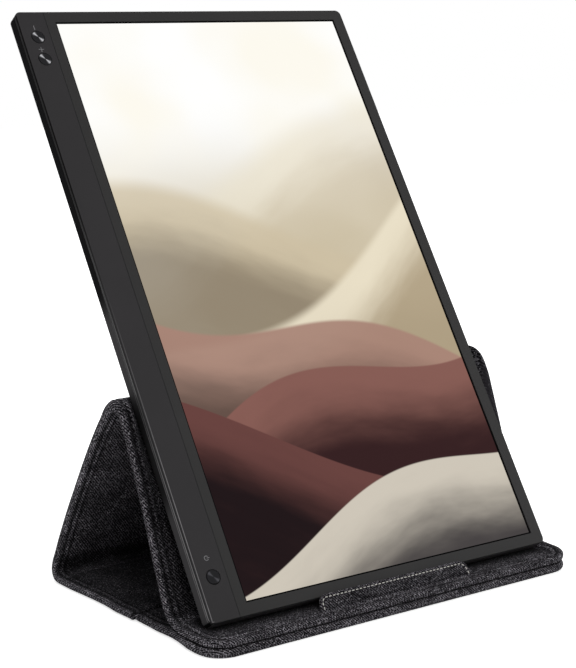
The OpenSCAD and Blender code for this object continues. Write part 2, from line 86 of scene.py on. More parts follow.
# ---------------------------------------------------------------------------------------------
# Node graphs
# ---------------------------------------------------------------------------------------------
class Graph:
    """A material's node tree, built one call at a time around one Principled shader."""

    def __init__(self, name: str) -> None:
        """Starts a material with a Principled shader and its output.

        Args:
            name: The material's name.
        """
        self.material = bpy.data.materials.new(name)
        self.material.use_nodes = True
        self.tree = self.material.node_tree
        self.tree.nodes.clear()
        self.output = self.tree.nodes.new("ShaderNodeOutputMaterial")
        self.shader = self.tree.nodes.new("ShaderNodeBsdfPrincipled")
        self.join(self.shader.outputs[0], self.output.inputs["Surface"])

    def join(self, source: Socket, target: Socket) -> None:
        """Links one socket to another."""
        self.tree.links.new(source, target)

    def feed(self, target: Socket, value: object) -> None:
        """Gives a socket a link or a value.

        Args:
            target: The input socket.
            value: Another node's socket, or a number, vector or colour.
        """
        if isinstance(value, bpy.types.NodeSocket):
            self.join(value, target)
        else:
            target.default_value = value

    def set(self, **values: object) -> None:
        """Sets inputs of the Principled shader by their names, with _ for a space."""
        for name, value in values.items():
            self.feed(self.shader.inputs[name.replace("_", " ")], value)

    def math(self, kind: str, a: object, b: object = 0.0, c: object = 0.0) -> Socket:
        """A Math node.

        Args:
            kind: The operation.
            a: First input.
            b: Second input.
            c: Third input, where the operation has one.

        Returns:
            The node's value socket.
        """
        node = self.tree.nodes.new("ShaderNodeMath")
        node.operation = kind
        for index, value in enumerate((a, b, c)):
            self.feed(node.inputs[index], value)
        return node.outputs[0]

    def product(self, first: object, *others: object) -> Socket:
        """Multiplies values.

        Args:
            first: A socket or a number.
            others: What it is multiplied by, in turn.

        Returns:
            The product's socket.
        """
        for value in others:
            first = self.math("MULTIPLY", first, value)
        return first

    def total(self, first: object, *others: object) -> Socket:
        """Adds values up.

        Args:
            first: A socket or a number.
            others: What is added to it, in turn.

        Returns:
            The sum's socket.
        """
        for value in others:
            first = self.math("ADD", first, value)
        return first

    def ramp(self, value: Socket, low: float, high: float, to_low: float = 0.0, to_high: float = 1.0) -> Socket:
        """A smooth step of a value from one range to another.

        Args:
            value: The input.
            low: Input at which the step starts.
            high: Input at which it ends.
            to_low: Result before the step.
            to_high: Result after it.

        Returns:
            The node's value socket.
        """
        node = self.tree.nodes.new("ShaderNodeMapRange")
        node.interpolation_type = "SMOOTHSTEP"
        for index, number in enumerate((value, low, high, to_low, to_high)):
            self.feed(node.inputs[index], number)
        return node.outputs[0]

    def mix(self, share: object, a: object, b: object) -> Socket:
        """A colour mix.

        Args:
            share: How much of the second colour shows.
            a: First colour, or a socket.
            b: Second colour, or a socket.

        Returns:
            The node's colour socket.
        """
        node = self.tree.nodes.new("ShaderNodeMix")
        node.data_type = "RGBA"
        self.feed(node.inputs[0], share)
        # The node has sockets for every data type: 6, 7 and 2 are those for colours
        self.feed(node.inputs[6], rgba(a) if isinstance(a, tuple) else a)
        self.feed(node.inputs[7], rgba(b) if isinstance(b, tuple) else b)
        return node.outputs[2]

    def tinted(self, colour: Socket, strength: Socket) -> Socket:
        """A colour multiplied by a value.

        Args:
            colour: The colour's socket.
            strength: The value's socket.

        Returns:
            The brighter or darker colour.
        """
        node = self.tree.nodes.new("ShaderNodeVectorMath")
        node.operation = "SCALE"
        self.join(colour, node.inputs[0])
        self.join(strength, node.inputs["Scale"])
        return node.outputs[0]

    def place(self) -> Socket:
        """Object coordinates of the surface point."""
        return self.tree.nodes.new("ShaderNodeTexCoord").outputs["Object"]

    def dot(self, point: Socket, direction: Vector, origin: Vector = Vector()) -> Socket:
        """Distance of a point along a direction.

        Args:
            point: The point's socket.
            direction: The direction.
            origin: Where the distance is zero.

        Returns:
            The distance's socket, zero at the origin.
        """
        node = self.tree.nodes.new("ShaderNodeVectorMath")
        node.operation = "DOT_PRODUCT"
        self.join(point, node.inputs[0])
        node.inputs[1].default_value = direction
        return self.math("SUBTRACT", node.outputs["Value"], origin.dot(direction))

    def axes(self, x: object, y: object, z: object = 0.0) -> Socket:
        """A vector of three values.

        Args:
            x: First part, a socket or a number.
            y: Second part.
            z: Third part.

        Returns:
            The vector's socket.
        """
        node = self.tree.nodes.new("ShaderNodeCombineXYZ")
        for index, value in enumerate((x, y, z)):
            self.feed(node.inputs[index], value)
        return node.outputs[0]

    def noise(self, vector: Socket, scale: float, detail: float = 3.0, rough: float = 0.5) -> Socket:
        """A noise texture's value.

        Args:
            vector: Where it is read.
            scale: Its scale.
            detail: Its octaves.
            rough: How strong the finer octaves are.

        Returns:
            The value socket.
        """
        node = self.tree.nodes.new("ShaderNodeTexNoise")
        self.join(vector, node.inputs["Vector"])
        node.inputs["Scale"].default_value = scale
        node.inputs["Detail"].default_value = detail
        node.inputs["Roughness"].default_value = rough
        return node.outputs[0]

    def attribute(self, name: str) -> Socket:
        """A value stored on the piece's points.

        Args:
            name: The attribute's name.

        Returns:
            The value's socket.
        """
        node = self.tree.nodes.new("ShaderNodeAttribute")
        node.attribute_name = name
        return node.outputs["Fac"]

    def near(self, value: Socket, low: float, high: float, soft: float) -> Socket:
        """One between two limits and zero outside them, with a soft change as wide as given at each."""
        return self.product(self.ramp(value, low - soft, low), self.ramp(value, high, high + soft, 1.0, 0.0))

    def chance(self, vector: Socket) -> Socket:
        """A random value for each whole-numbered vector.

        Args:
            vector: The vector's socket.

        Returns:
            The value's socket, from 0 to 1.
        """
        node = self.tree.nodes.new("ShaderNodeTexWhiteNoise")
        node.noise_dimensions = "3D"
        self.join(vector, node.inputs["Vector"])
        return node.outputs["Value"]

    def bump(self, height: Socket, strength: float, distance: float) -> None:
        """Gives the shader a bump.

        Args:
            height: The height's socket.
            strength: How strongly it shows.
            distance: Its depth in metres.
        """
        node = self.tree.nodes.new("ShaderNodeBump")
        node.inputs["Strength"].default_value = strength
        node.inputs["Distance"].default_value = distance
        self.join(height, node.inputs["Height"])
        self.join(node.outputs[0], self.shader.inputs["Normal"])


def rgba(colour: tuple[float, ...]) -> tuple[float, float, float, float]:
    """A colour with its fourth part.

    Args:
        colour: Display red, green and blue, from 0 to 255.

    Returns:
        The linear colour that renders as the display one.
    """
    def linear(part: float) -> float:
        """One display part, from 0 to 255, as a linear share."""
        share = part / 255
        return share / 12.92 if share <= 0.04045 else ((share + 0.055) / 1.055) ** 2.4
    return tuple(linear(part) for part in colour[:3]) + (1.0,)


# ---------------------------------------------------------------------------------------------
# Finishes
# ---------------------------------------------------------------------------------------------
@dataclass(frozen=True)
class MelangeTwill:
    """Woven two-over-two twill of dark warp and paler mottled weft, read from a UV map in metres.

    Attributes:
        name: The material's name.
        dark: Colour deep between the yarns.
        warp: Colour of the lengthwise yarns.
        weft: Colour of the crosswise yarns.
        fleck: Colour of lint.
        felt: Colour of the painted lit patch, an even lit grey painted over the weave.
        pitch: Distance between warp yarns, and between weft yarns.
        repeat: Yarns in one repeat of the weave.
        count_from: A multiple of the repeat that keeps the yarns' numbers positive.
        streak: How fast a yarn's mottling changes along it, per metre.
        apart: How far apart neighbouring yarns read their mottling.
    """

    name: str
    dark: tuple[int, int, int] = (4, 4, 5)
    warp: tuple[int, int, int] = (16, 15, 17)
    weft: tuple[int, int, int] = (112, 109, 115)
    fleck: tuple[int, int, int] = (224, 220, 228)
    felt: tuple[int, int, int] = (52, 50, 54)
    pitch: tuple[float, float] = (0.40 * MM, 0.54 * MM)
    repeat: float = 4.0
    count_from: float = 4000.0
    streak: float = 700.0
    apart: float = 13.7

    def material(self) -> bpy.types.Material:
        """Builds the cloth: the yarns' crossings, each yarn's own mottling, lint, and painted light and shade:
        painted shade in the gaps between yarns, and the tone attribute's painted highlights on rims and painted
        shade in seams and folds.

        Returns:
            The material.
        """
        g = Graph(self.name)
        uv = g.tree.nodes.new("ShaderNodeUVMap")
        uv.uv_map = "cloth"
        cloth = uv.outputs[0]
        split = g.tree.nodes.new("ShaderNodeSeparateXYZ")
        g.join(cloth, split.inputs[0])
        u, v = split.outputs[0], split.outputs[1]
        wobble = g.math("MULTIPLY_ADD", g.noise(cloth, 90.0, 2.0), 0.5, -0.25)
        across = g.total(g.math("DIVIDE", u, self.pitch[0]), wobble)
        along = g.total(g.math("DIVIDE", v, self.pitch[1]), wobble)
        i, j = g.math("FLOOR", across), g.math("FLOOR", along)
        turn = g.math("MODULO", g.total(i, j, self.count_from), self.repeat)
        warp_up = g.math("LESS_THAN", turn, self.repeat / 2 - 0.5)
        weft_up = g.math("SUBTRACT", 1.0, warp_up)
        warp, weft = self._yarns(g, turn, across, along)
        height = g.total(g.product(warp_up, warp), g.product(weft_up, weft))
        warp_tone = g.noise(g.axes(g.product(i, self.apart), g.product(v, self.streak)), 1.0, 2.0)
        weft_tone = g.noise(g.axes(g.product(u, self.streak), g.product(j, self.apart), 5.0), 1.0, 2.0)
        tone = g.total(g.product(warp_up, warp_tone), g.product(weft_up, weft_tone))
        yarn = g.mix(warp_up, self.weft, self.warp)
        shade = g.mix(g.ramp(tone, 0.32, 0.62, 0.1, 1.0), self.dark, yarn)
        lint = g.chance(g.axes(i, j, 3.0))
        lucky = g.product(g.ramp(lint, 0.8, 0.99), g.ramp(tone, 0.38, 0.58))
        shade = g.mix(g.product(lucky, 0.6), shade, self.fleck)
        cloud = g.ramp(g.noise(cloth, 60.0, 3.0), 0.3, 0.72, 0.62, 1.2)
        # Painted shade: darker where the yarns dip into the gaps between them, times random cloudiness
        depth = g.product(g.ramp(height, 0.0, 0.6, 0.22, 1.0), cloud)
        # The tone attribute multiplies in the painted light and shade laid on the cover and the tab
        shade = g.tinted(shade, g.product(depth, g.attribute("tone")))
        # Painted light: the patch on the right ridge is painted an even lit grey over the weave
        shade = g.mix(g.attribute("felted"), shade, self.felt)
        g.set(Base_Color=shade, Roughness=0.95, Sheen_Weight=0.06, Sheen_Roughness=0.4,
              Specular_IOR_Level=0.05, IOR=1.2)
        g.shader.inputs["Sheen Tint"].default_value = rgba((170, 170, 176))
        fuzz = g.noise(cloth, 5200.0, 2.0)
        g.bump(g.math("MULTIPLY_ADD", fuzz, 0.35, height), 0.85, 0.2 * MM)
        return g.material

    def _yarns(self, g: Graph, turn: Socket, across: Socket, along: Socket) -> tuple[Socket, Socket]:
        """The heights of the warp and the weft, each over two of the other and then under two.

        Args:
            g: The graph it is built in.
            turn: Which crossing of the repeat it is.
            across: Position across, counted in warp yarns.
            along: Position along, counted in weft yarns.

        Returns:
            The two heights' sockets, each true where its own yarn is on top.
        """
        over = self.repeat / 2
        over_warp = g.total(turn, g.math("FRACT", along))
        over_weft = g.total(g.math("SUBTRACT", turn, over), g.math("FRACT", across))
        warp = self._float(g, across, g.math("DIVIDE", over_warp, over))
        return warp, self._float(g, along, g.math("DIVIDE", over_weft, over))

    @staticmethod
    def _float(g: Graph, side: Socket, lengthwise: Socket) -> Socket:
        """The height of one yarn over its float.

        Args:
            g: The graph it is built in.
            side: Position across the yarns.
            lengthwise: Position along the float, from 0 to 1.

        Returns:
            The height's socket, from 0 to 1.
        """
        round_off = g.math("SINE", g.product(g.math("FRACT", side), math.pi))
        dive = g.math("SINE", g.product(lengthwise, math.pi))
        return g.product(round_off, g.math("POWER", g.math("MAXIMUM", dive, 0.0), 0.45))


@dataclass(frozen=True)
class MouldedPlastic:
    """Matt moulded plastic with a fine spark-eroded grain, a painted highlight line along its outer edge,
    painted shade on its sides and chamfer, and painted highlights over stretches of its sides.

    Attributes:
        name: The material's name.
        colour: Colour of the face.
        rough: Middle roughness.
        gloss: Strength of the highlights.
        ior: Refractive index.
        grain: Depth of the grain.
        edge: Colour of the painted highlight line along the left side, and of the other painted highlights.
        highlight_from: Height over the face at which that painted highlight line starts.
        highlight_to: Height at which it ends.
        lip: Strength of the gleam inside the front's rim; 0 on a piece that has no front.
        side: Colour of the sides: painted shade, darker than the face.
        groove: Colour of the painted shade on the rim high up on the left.
        held: Painted highlights on the sides, standing in for soft reflections: lower end, upper end and
            strength.
        highlight_soft: How softly those painted highlights end.
    """

    name: str
    colour: tuple[int, int, int]
    rough: float = 0.5
    gloss: float = 0.25
    ior: float = 1.45
    grain: float = 0.03 * MM
    edge: tuple[int, int, int] = (130, 128, 130)
    highlight_from: float = -1.35 * MM
    highlight_to: float = -0.75 * MM
    lip: float = 0.0
    side: tuple[int, int, int] = (14, 14, 15)
    groove: tuple[int, int, int] = (3, 3, 3)
    held: tuple[tuple[float, float, float], ...] = ()
    highlight_soft: float = 22 * MM

    def material(self) -> bpy.types.Material:
        """Builds the plastic: grain in the bump, slight random change of gloss and colour, a painted highlight
        line on the edge, a painted gleam in the lip, and painted shade and highlights on the sides.

        Returns:
            The material.
        """
        g = Graph(self.name)
        place = g.place()
        grain = g.noise(place, 3800.0, 3.0, 0.6)
        haze = g.noise(place, 24.0, 3.0)
        dark = tuple(part * 0.9 for part in self.colour)
        shade = g.mix(g.ramp(haze, 0.35, 0.7), dark, self.colour)
        across = g.dot(place, RIGHT, on_face(0, 0))
        x = g.math("ABSOLUTE", g.math("SUBTRACT", across, MONITOR_W / 2))
        y = g.math("ABSOLUTE", g.dot(place, UP_FACE, on_face(0, MONITOR_H / 2)))
        inset = g.math("MINIMUM", g.math("SUBTRACT", MONITOR_W / 2, x), g.math("SUBTRACT", MONITOR_H / 2, y))
        rim = g.ramp(inset, 0.3 * MM, 0.5 * MM, 1.0, 0.0)
        out, up = g.dot(place, OUT_OF_FACE, FOOT), g.dot(place, UP_FACE, FOOT)
        left = g.ramp(across, 1.8 * MM, 2.6 * MM, 1.0, 0.0)
        high_left = g.product(g.ramp(up, 170 * MM, 260 * MM), left)
        # Painted shade: the sides take the dark side colour, and so does the left side high up
        wall = g.math("MAXIMUM", g.ramp(out, -0.9 * MM, -0.3 * MM, 1.0, 0.0), g.product(high_left, 0.9))
        shade = g.mix(g.product(rim, wall), shade, self._side_shade_and_highlights(g, up))
        # Painted highlight: a pale line along the left side's edge, fading upwards
        line = g.near(out, self.highlight_from, self.highlight_to, 0.4 * MM)
        fade = g.product(g.ramp(up, 50 * MM, 200 * MM, 1.0, 0.0), left)
        fade = g.product(fade, g.ramp(g.noise(place, 90.0), 0.3, 0.6, 0.7, 1.0))
        shade = g.mix(g.product(rim, line, fade), shade, self.edge)
        gloss = self.gloss
        if self.lip:
            front = g.ramp(out, -0.7 * MM, -0.55 * MM)
            # Painted shade on the chamfer round the front
            shade = self._chamfer_shade(g, shade, inset, front, high_left)
            shade = self._seam(g, shade, across, front)
            gleam = g.product(g.near(inset, 1.1 * MM, 1.35 * MM, 0.2 * MM), fade, self.lip)
            shade = g.mix(gleam, shade, self.edge)
            matt = g.product(high_left, g.ramp(inset, 0.5 * MM, 0.75 * MM, 1.0, 0.0))
            gloss = g.ramp(matt, 0.0, 1.0, self.gloss, self.gloss / 4)
        g.set(Base_Color=shade, Specular_IOR_Level=gloss, IOR=self.ior,
              Roughness=g.math("MULTIPLY_ADD", grain, 0.14, self.rough - 0.07))
        g.bump(grain, 0.35, self.grain)
        return g.material

    def _side_shade_and_highlights(self, g: Graph, up: Socket) -> Socket | tuple[int, int, int]:
        """The sides' colour of painted shade, with painted highlights over the listed stretches.

        Args:
            g: The graph it is built in.
            up: Height above the lower edge.

        Returns:
            The colour, or its socket where stretches are held.
        """
        side = self.side
        for low, high, strength in self.held:
            pale = g.near(up, low, high, self.highlight_soft)
            side = g.mix(g.product(pale, strength), side, self.edge)
        return side

    def _chamfer_shade(self, g: Graph, shade: Socket, inset: Socket, front: Socket, high_left: Socket) -> Socket:
        """Paints shade on the chamfer round the front, darkest high up on the left.

        Args:
            g: The graph it is built in.
            shade: The colour so far.
            inset: Distance inside the outline.
            front: One on the front.
            high_left: One high up on the left side.

        Returns:
            The darkened colour's socket.
        """
        shade = g.mix(g.product(front, g.ramp(inset, 0.65 * MM, 0.8 * MM, 0.8, 0.0)), shade, self.side)
        dull = g.product(high_left, front, g.ramp(inset, 0.5 * MM, 0.7 * MM, 0.75, 0.0))
        return g.mix(dull, shade, self.groove)

    def _seam(self, g: Graph, shade: Socket, across: Socket, front: Socket) -> Socket:
        """The colour, darkened along the fine joint between the button strip and the frame."""
        off = g.math("ABSOLUTE", g.math("SUBTRACT", across, CHIN_W))
        return g.mix(g.product(front, g.ramp(off, 0.2 * MM, 0.5 * MM, 0.75, 0.0)), shade, self.side)


@dataclass(frozen=True)
class SpunMetal:
    """Metal cap turned on a lathe, with rings round its own centre and two opposite beams of light.

    Attributes:
        name: The material's name.
        colour: Colour of the metal.
        beam: Colour of the beams.
        centre: Middle of the cap's face.
        direction: Angle of the first beam, from the right towards up, in radians.
        narrow: How narrow the beams are.
    """

    name: str
    colour: tuple[int, int, int]
    beam: tuple[int, int, int]
    centre: Vector
    direction: float = -0.85
    narrow: float = 26.0

    def material(self) -> bpy.types.Material:
        """Builds the metal: fine rings, the beams that a turned face throws, a darker rim.

        Returns:
            The material.
        """
        g = Graph(self.name)
        place = g.place()
        x = g.dot(place, RIGHT, self.centre)
        y = g.dot(place, UP_FACE, self.centre)
        radius = g.math("SQRT", g.total(g.product(x, x), g.product(y, y)))
        rings = g.noise(g.axes(radius, 0.0, 0.0), 9000.0, 2.0)
        turn = g.math("SUBTRACT", g.math("ARCTAN2", y, x), self.direction)
        beam = g.math("POWER", g.math("ABSOLUTE", g.math("COSINE", turn)), self.narrow)
        beam = g.product(beam, g.ramp(rings, 0.3, 0.7, 0.7, 1.0))
        beam = g.product(beam, g.ramp(radius, BUTTON_R - 0.5 * MM, BUTTON_R - 0.2 * MM, 1.0, 0.15))
        g.set(Base_Color=g.mix(beam, self.colour, self.beam), Metallic=0.7, Roughness=0.42,
              Specular_IOR_Level=0.2)
        g.bump(rings, 0.25, 0.02 * MM)
        return g.material


@dataclass(frozen=True)
class PlainPart:
    """Finish of an inner or small part: a colour with slight mottling and its own gloss.

    Attributes:
        name: The material's name.
        colour: The colour.
        rough: Middle roughness.
        metallic: How metallic it is.
        scale: Scale of the mottling.
    """

    name: str
    colour: tuple[int, int, int]
    rough: float = 0.5
    metallic: float = 0.0
    scale: float = 600.0

    def material(self) -> bpy.types.Material:
        """Builds the finish.

        Returns:
            The material.
        """
        g = Graph(self.name)
        mottle = g.noise(g.place(), self.scale, 3.0)
        dark = tuple(part * 0.8 for part in self.colour)
        g.set(Base_Color=g.mix(g.ramp(mottle, 0.35, 0.65), dark, self.colour), Metallic=self.metallic,
              Roughness=g.math("MULTIPLY_ADD", mottle, 0.12, self.rough - 0.06))
        g.bump(mottle, 0.2, 0.03 * MM)
        return g.material


class Dune(NamedTuple):
    """One layer of the picture: heights and widths are shares of the lit area's.

    Attributes:
        level: Height of its crest in the middle.
        swing: How far the crest waves.
        rate: How fast it waves, in radians.
        phase: Where the wave starts, in radians.
        rise: How much higher the crest is on the right than on the left.
        foot: Colour of its foot.
        crest: Colour of its crest.
        soft: Softness of the crest's line.
        cover: How much it covers what is behind.
    """

    level: float
    swing: float
    rate: float
    phase: float
    rise: float
    foot: tuple[int, int, int]
    crest: tuple[int, int, int]
    soft: float
    cover: float


@dataclass(frozen=True)
class LitScreen:
    """The panel's glass: a black border round a lit picture of layered dunes.

    Attributes:
        name: The material's name.
        black: Colour of the border.
        dunes: The picture's layers, from back to front.
    """

    name: str = "lit_screen"
    black: tuple[int, int, int] = (9, 9, 10)
    dunes: tuple[Dune, ...] = (
        Dune(0.70, 0.050, 3.3, 5.2, 0.18, (198, 184, 156), (232, 224, 204), 0.070, 0.65),
        Dune(0.60, 0.055, 4.1, 1.2, -0.10, (120, 106, 88), (206, 192, 164), 0.040, 0.75),
        Dune(0.50, 0.060, 3.7, 2.9, 0.22, (176, 160, 132), (236, 226, 202), 0.022, 0.90),
        Dune(0.40, 0.050, 4.6, 4.4, -0.20, (92, 70, 64), (168, 132, 118), 0.008, 0.95),
        Dune(0.30, 0.060, 4.2, 0.3, 0.16, (52, 30, 31), (134, 92, 84), 0.004, 1.0),
        Dune(0.20, 0.050, 3.8, 2.2, -0.16, (30, 19, 21), (104, 66, 62), 0.003, 1.0),
        Dune(0.10, 0.035, 5.0, 4.9, 0.12, (70, 66, 66), (206, 198, 184), 0.003, 1.0))

    def material(self) -> bpy.types.Material:
        """Builds the glass and the picture that shines through it.

        Returns:
            The material.
        """
        g = Graph(self.name)
        place = g.place()
        x = g.math("DIVIDE", g.dot(place, RIGHT, on_face(LIT_LEFT, 0)), LIT_W)
        y = g.math("DIVIDE", g.dot(place, UP_FACE, on_face(0, LIT_BOTTOM)), LIT_H)
        off_x = g.math("ABSOLUTE", g.math("SUBTRACT", x, 0.5))
        off_y = g.math("ABSOLUTE", g.math("SUBTRACT", y, 0.5))
        inside = g.product(g.math("LESS_THAN", off_x, 0.5), g.math("LESS_THAN", off_y, 0.5))
        g.set(Base_Color=rgba(self.black), Roughness=0.35, Specular_IOR_Level=0.05, IOR=1.12,
              Emission_Color=g.mix(inside, (0, 0, 0), self._picture(g, x, y)), Emission_Strength=1.0)
        return g.material

    def _picture(self, g: Graph, x: Socket, y: Socket) -> Socket:
        """Layered dunes: pale haze above, warm sand behind, dark wine-brown slopes in front.

        Args:
            g: The graph it is built in.
            x: Share of the lit width from the left.
            y: Share of the lit height from below.

        Returns:
            The picture's colour socket.
        """
        flat = g.axes(x, g.product(y, 1.78))
        colour = g.mix(g.ramp(y, 0.56, 0.84), (214, 204, 180), (255, 255, 254))
        glow = g.noise(flat, 1.9, 2.0)
        colour = g.mix(g.ramp(glow, 0.4, 0.66, 0.0, 0.7), colour, (252, 247, 232))
        for dune in self.dunes:
            wave = g.product(g.math("SINE", g.math("MULTIPLY_ADD", x, dune.rate, dune.phase)), dune.swing)
            crest = g.total(dune.level, g.total(wave, g.math("MULTIPLY_ADD", x, dune.rise, -dune.rise / 2)))
            under = g.math("SUBTRACT", crest, y)
            ripple = g.noise(g.axes(g.product(under, 9.0), g.product(x, 1.6), dune.level), 2.6, 3.0)
            slope = g.total(g.ramp(under, 0.0, 0.17), g.math("MULTIPLY_ADD", ripple, 0.5, -0.25))
            lit = g.mix(g.ramp(slope, 0.0, 1.0), dune.crest, dune.foot)
            shown = g.ramp(under, -dune.soft / 2, dune.soft / 2, 0.0, dune.cover)
            colour = g.mix(shown, colour, lit)
        return colour


# ---------------------------------------------------------------------------------------------
# Modelling helpers
# ---------------------------------------------------------------------------------------------
def only(obj: Obj) -> None:
    """Selects one object alone and makes it active.

    Args:
        obj: The object.
    """
    if bpy.context.object and bpy.context.object.mode != "OBJECT":
        bpy.ops.object.mode_set(mode="OBJECT")
    bpy.ops.object.select_all(action="DESELECT")
    obj.select_set(True)
    bpy.context.view_layer.objects.active = obj


def apply_modifiers(obj: Obj) -> None:
    """Applies every modifier of an object, in order.

    Args:
        obj: The object.
    """
    only(obj)
    for modifier in list(obj.modifiers):
        bpy.ops.object.modifier_apply(modifier=modifier.name)


def coordinates(obj: Obj) -> np.ndarray:
    """The object's vertices as an array of points.

    Args:
        obj: The object.

    Returns:
        One row for each vertex.
    """
    points = np.empty(len(obj.data.vertices) * 3)
    obj.data.vertices.foreach_get("co", points)
    return points.reshape(-1, 3)


def move_to(obj: Obj, points: np.ndarray) -> None:
    """Moves an object's vertices to new places, one for each vertex."""
    obj.data.vertices.foreach_set("co", points.reshape(-1))
    obj.data.update()


def dress(obj: Obj, material: bpy.types.Material) -> Obj:
    """Gives an object one material.

    Args:
        obj: The object.
        material: Its material.

    Returns:
        The object.
    """
    obj.data.materials.clear()
    obj.data.materials.append(material)
    return obj


def smooth(obj: Obj, degrees: float = 40.0) -> None:
    """Shades an object smooth, with sharp edges past an angle."""
    only(obj)
    bpy.ops.object.shade_smooth_by_angle(angle=math.radians(degrees))


def step(value: np.ndarray) -> np.ndarray:
    """A smooth step of values from 0 to 1."""
    share = np.clip(value, 0, 1)
    return share * share * (3 - 2 * share)


def bell(value: np.ndarray, width: float | np.ndarray) -> np.ndarray:
    """A bell curve: 1 at zero, and about a third one width away."""
    return np.exp(-(value / width) ** 2)


def join(pieces: list[Obj]) -> Obj:
    """Joins pieces into the first of them.

    Args:
        pieces: The pieces.

    Returns:
        The first piece, with the others in it.
    """
    bpy.ops.object.select_all(action="DESELECT")
    for piece in pieces:
        piece.select_set(True)
    bpy.context.view_layer.objects.active = pieces[0]
    bpy.ops.object.join()
    return pieces[0]


def weld(obj: Obj) -> None:
    """Merges the points that fell together and turns every face outwards.

    Args:
        obj: The object.
    """
    only(obj)
    bpy.ops.object.mode_set(mode="EDIT")
    bpy.ops.mesh.select_all(action="SELECT")
    bpy.ops.mesh.remove_doubles(threshold=0.008 * MM)
    bpy.ops.mesh.normals_make_consistent(inside=False)
    bpy.ops.object.mode_set(mode="OBJECT")


def two_faced(name: str, across: np.ndarray, along: np.ndarray) -> Obj:
    """A flat grid with a face on either side, its points in rows: first one face, then the other.

    Args:
        name: The object's name.
        across: Places of its columns, for each of its points.
        along: Places of its rows, for each of its points.

    Returns:
        The object, with Z over zero on its first face.
    """
    rows, columns = across.shape
    bpy.ops.object.select_all(action="DESELECT")
    bpy.ops.mesh.primitive_grid_add(x_subdivisions=columns - 1, y_subdivisions=rows - 1, size=2)
    obj = bpy.context.object
    obj.name = obj.data.name = name
    move_to(obj, np.stack([across.ravel(), along.ravel(), np.zeros(across.size)], axis=1))
    wall = obj.modifiers.new("two_faces", "SOLIDIFY")
    wall.thickness = MM
    wall.offset = 0
    apply_modifiers(obj)
    return obj


def lay_cloth(obj: Obj, places: np.ndarray, **looks: np.ndarray) -> None:
    """Writes the cloth's own places in metres as a UV map, and its looks as attributes.

    Args:
        obj: The flat piece with two faces.
        places: Place of each point on the cloth; the under face is read mirrored, as woven.
        looks: The attributes' values at each point, such as tone.
    """
    for layer in list(obj.data.uv_layers):
        obj.data.uv_layers.remove(layer)
    layer = obj.data.uv_layers.new(name="cloth")
    corner = np.empty(len(obj.data.loops), int)
    obj.data.loops.foreach_get("vertex_index", corner)
    under = coordinates(obj)[corner, 2] < 0
    uv = places[corner].copy()
    uv[under, 0] = 0.5 - uv[under, 0]
    layer.data.foreach_set("uv", uv.reshape(-1))
    for name, values in looks.items():
        obj.data.attributes.new(name, "FLOAT", "POINT").data.foreach_set("value", values.astype(np.float32))


def outline(x: np.ndarray, y: np.ndarray, half_x: float, half_y: float,
            corner: float) -> tuple[np.ndarray, np.ndarray]:
    """How far flat places lie inside a rounded rectangle, and which way its edge is.

    Args:
        x: Places across, from its middle.
        y: Places along, from its middle.
        half_x: Half of its width.
        half_y: Half of its length.
        corner: Radius of its corners.

    Returns:
        The distances, positive inside, and the directions out of it.
    """
    qx, qy = np.abs(x) - (half_x - corner), np.abs(y) - (half_y - corner)
    out_x, out_y = np.maximum(qx, 0), np.maximum(qy, 0)
    outside = np.hypot(out_x, out_y)
    far = outside > 1e-9
    way_x = np.where(far, out_x / np.maximum(outside, 1e-9), (qx > qy) * 1.0)
    way_y = np.where(far, out_y / np.maximum(outside, 1e-9), (qx <= qy) * 1.0)
    way = np.stack([way_x * np.sign(x), way_y * np.sign(y)], axis=-1)
    return corner - outside - np.minimum(np.maximum(qx, qy), 0), way


def round_rim(d: np.ndarray, half: np.ndarray) -> np.ndarray:
    """Half thickness at distances d from a padded edge with a half-round rim, where half is that inside it."""
    return np.where(d < half, np.sqrt(np.maximum(half ** 2 - (half - d) ** 2, 0)), half)


def unrolled(d: np.ndarray, half: np.ndarray) -> np.ndarray:
    """How much further out cloth reaches round a half-round rim than its place seen from above.

    Args:
        d: Distance from the edge.
        half: Half thickness inside the rim.

    Returns:
        The extra length, none inside the rim.
    """
    inside = np.clip(d, 0, half)
    arc = half * np.arccos(np.clip((half - inside) / half, -1, 1))
    return half * (math.pi / 2 - 1) - (arc - inside)


# ---------------------------------------------------------------------------------------------
# Cover
# ---------------------------------------------------------------------------------------------
class Landmark(Enum):
    """Places on the folded cover's middle line: Y and Z in millimetres."""

    FLOOR_FRONT = (-44.0, 2.6)
    LEDGE_OVER = (-40.0, 2.6)
    FLOOR_REAR = (70.0, 2.6)
    REAR_FOLD_LOW = (82.6, 5.2)
    REAR_FOLD_BACK = (83.0, 8.8)
    REAR_FOLD = (82.5, 10.5)
    BACK_LOW = (66.0, 38.0)
    BACK_SPLIT = (46.0, 67.0)
    RIDGE = (1.8, 113.3)
    RIDGE_FRONT = (-5.2, 111.2)
    RUBBED_TOP = (-6.0, 110.5)
    SUPPORT_MIDDLE = (-25.4, 65.5)
    RUBBED_FOOT = (-31.5, 45.4)
    SUPPORT_SPLIT = (-32.4, 42.5)
    SUPPORT_FOOT = (-41.0, 17.0)
    LEDGE_FOLD = (-45.6, 10.6)
    LEDGE_REAR = (-50.0, 8.4)


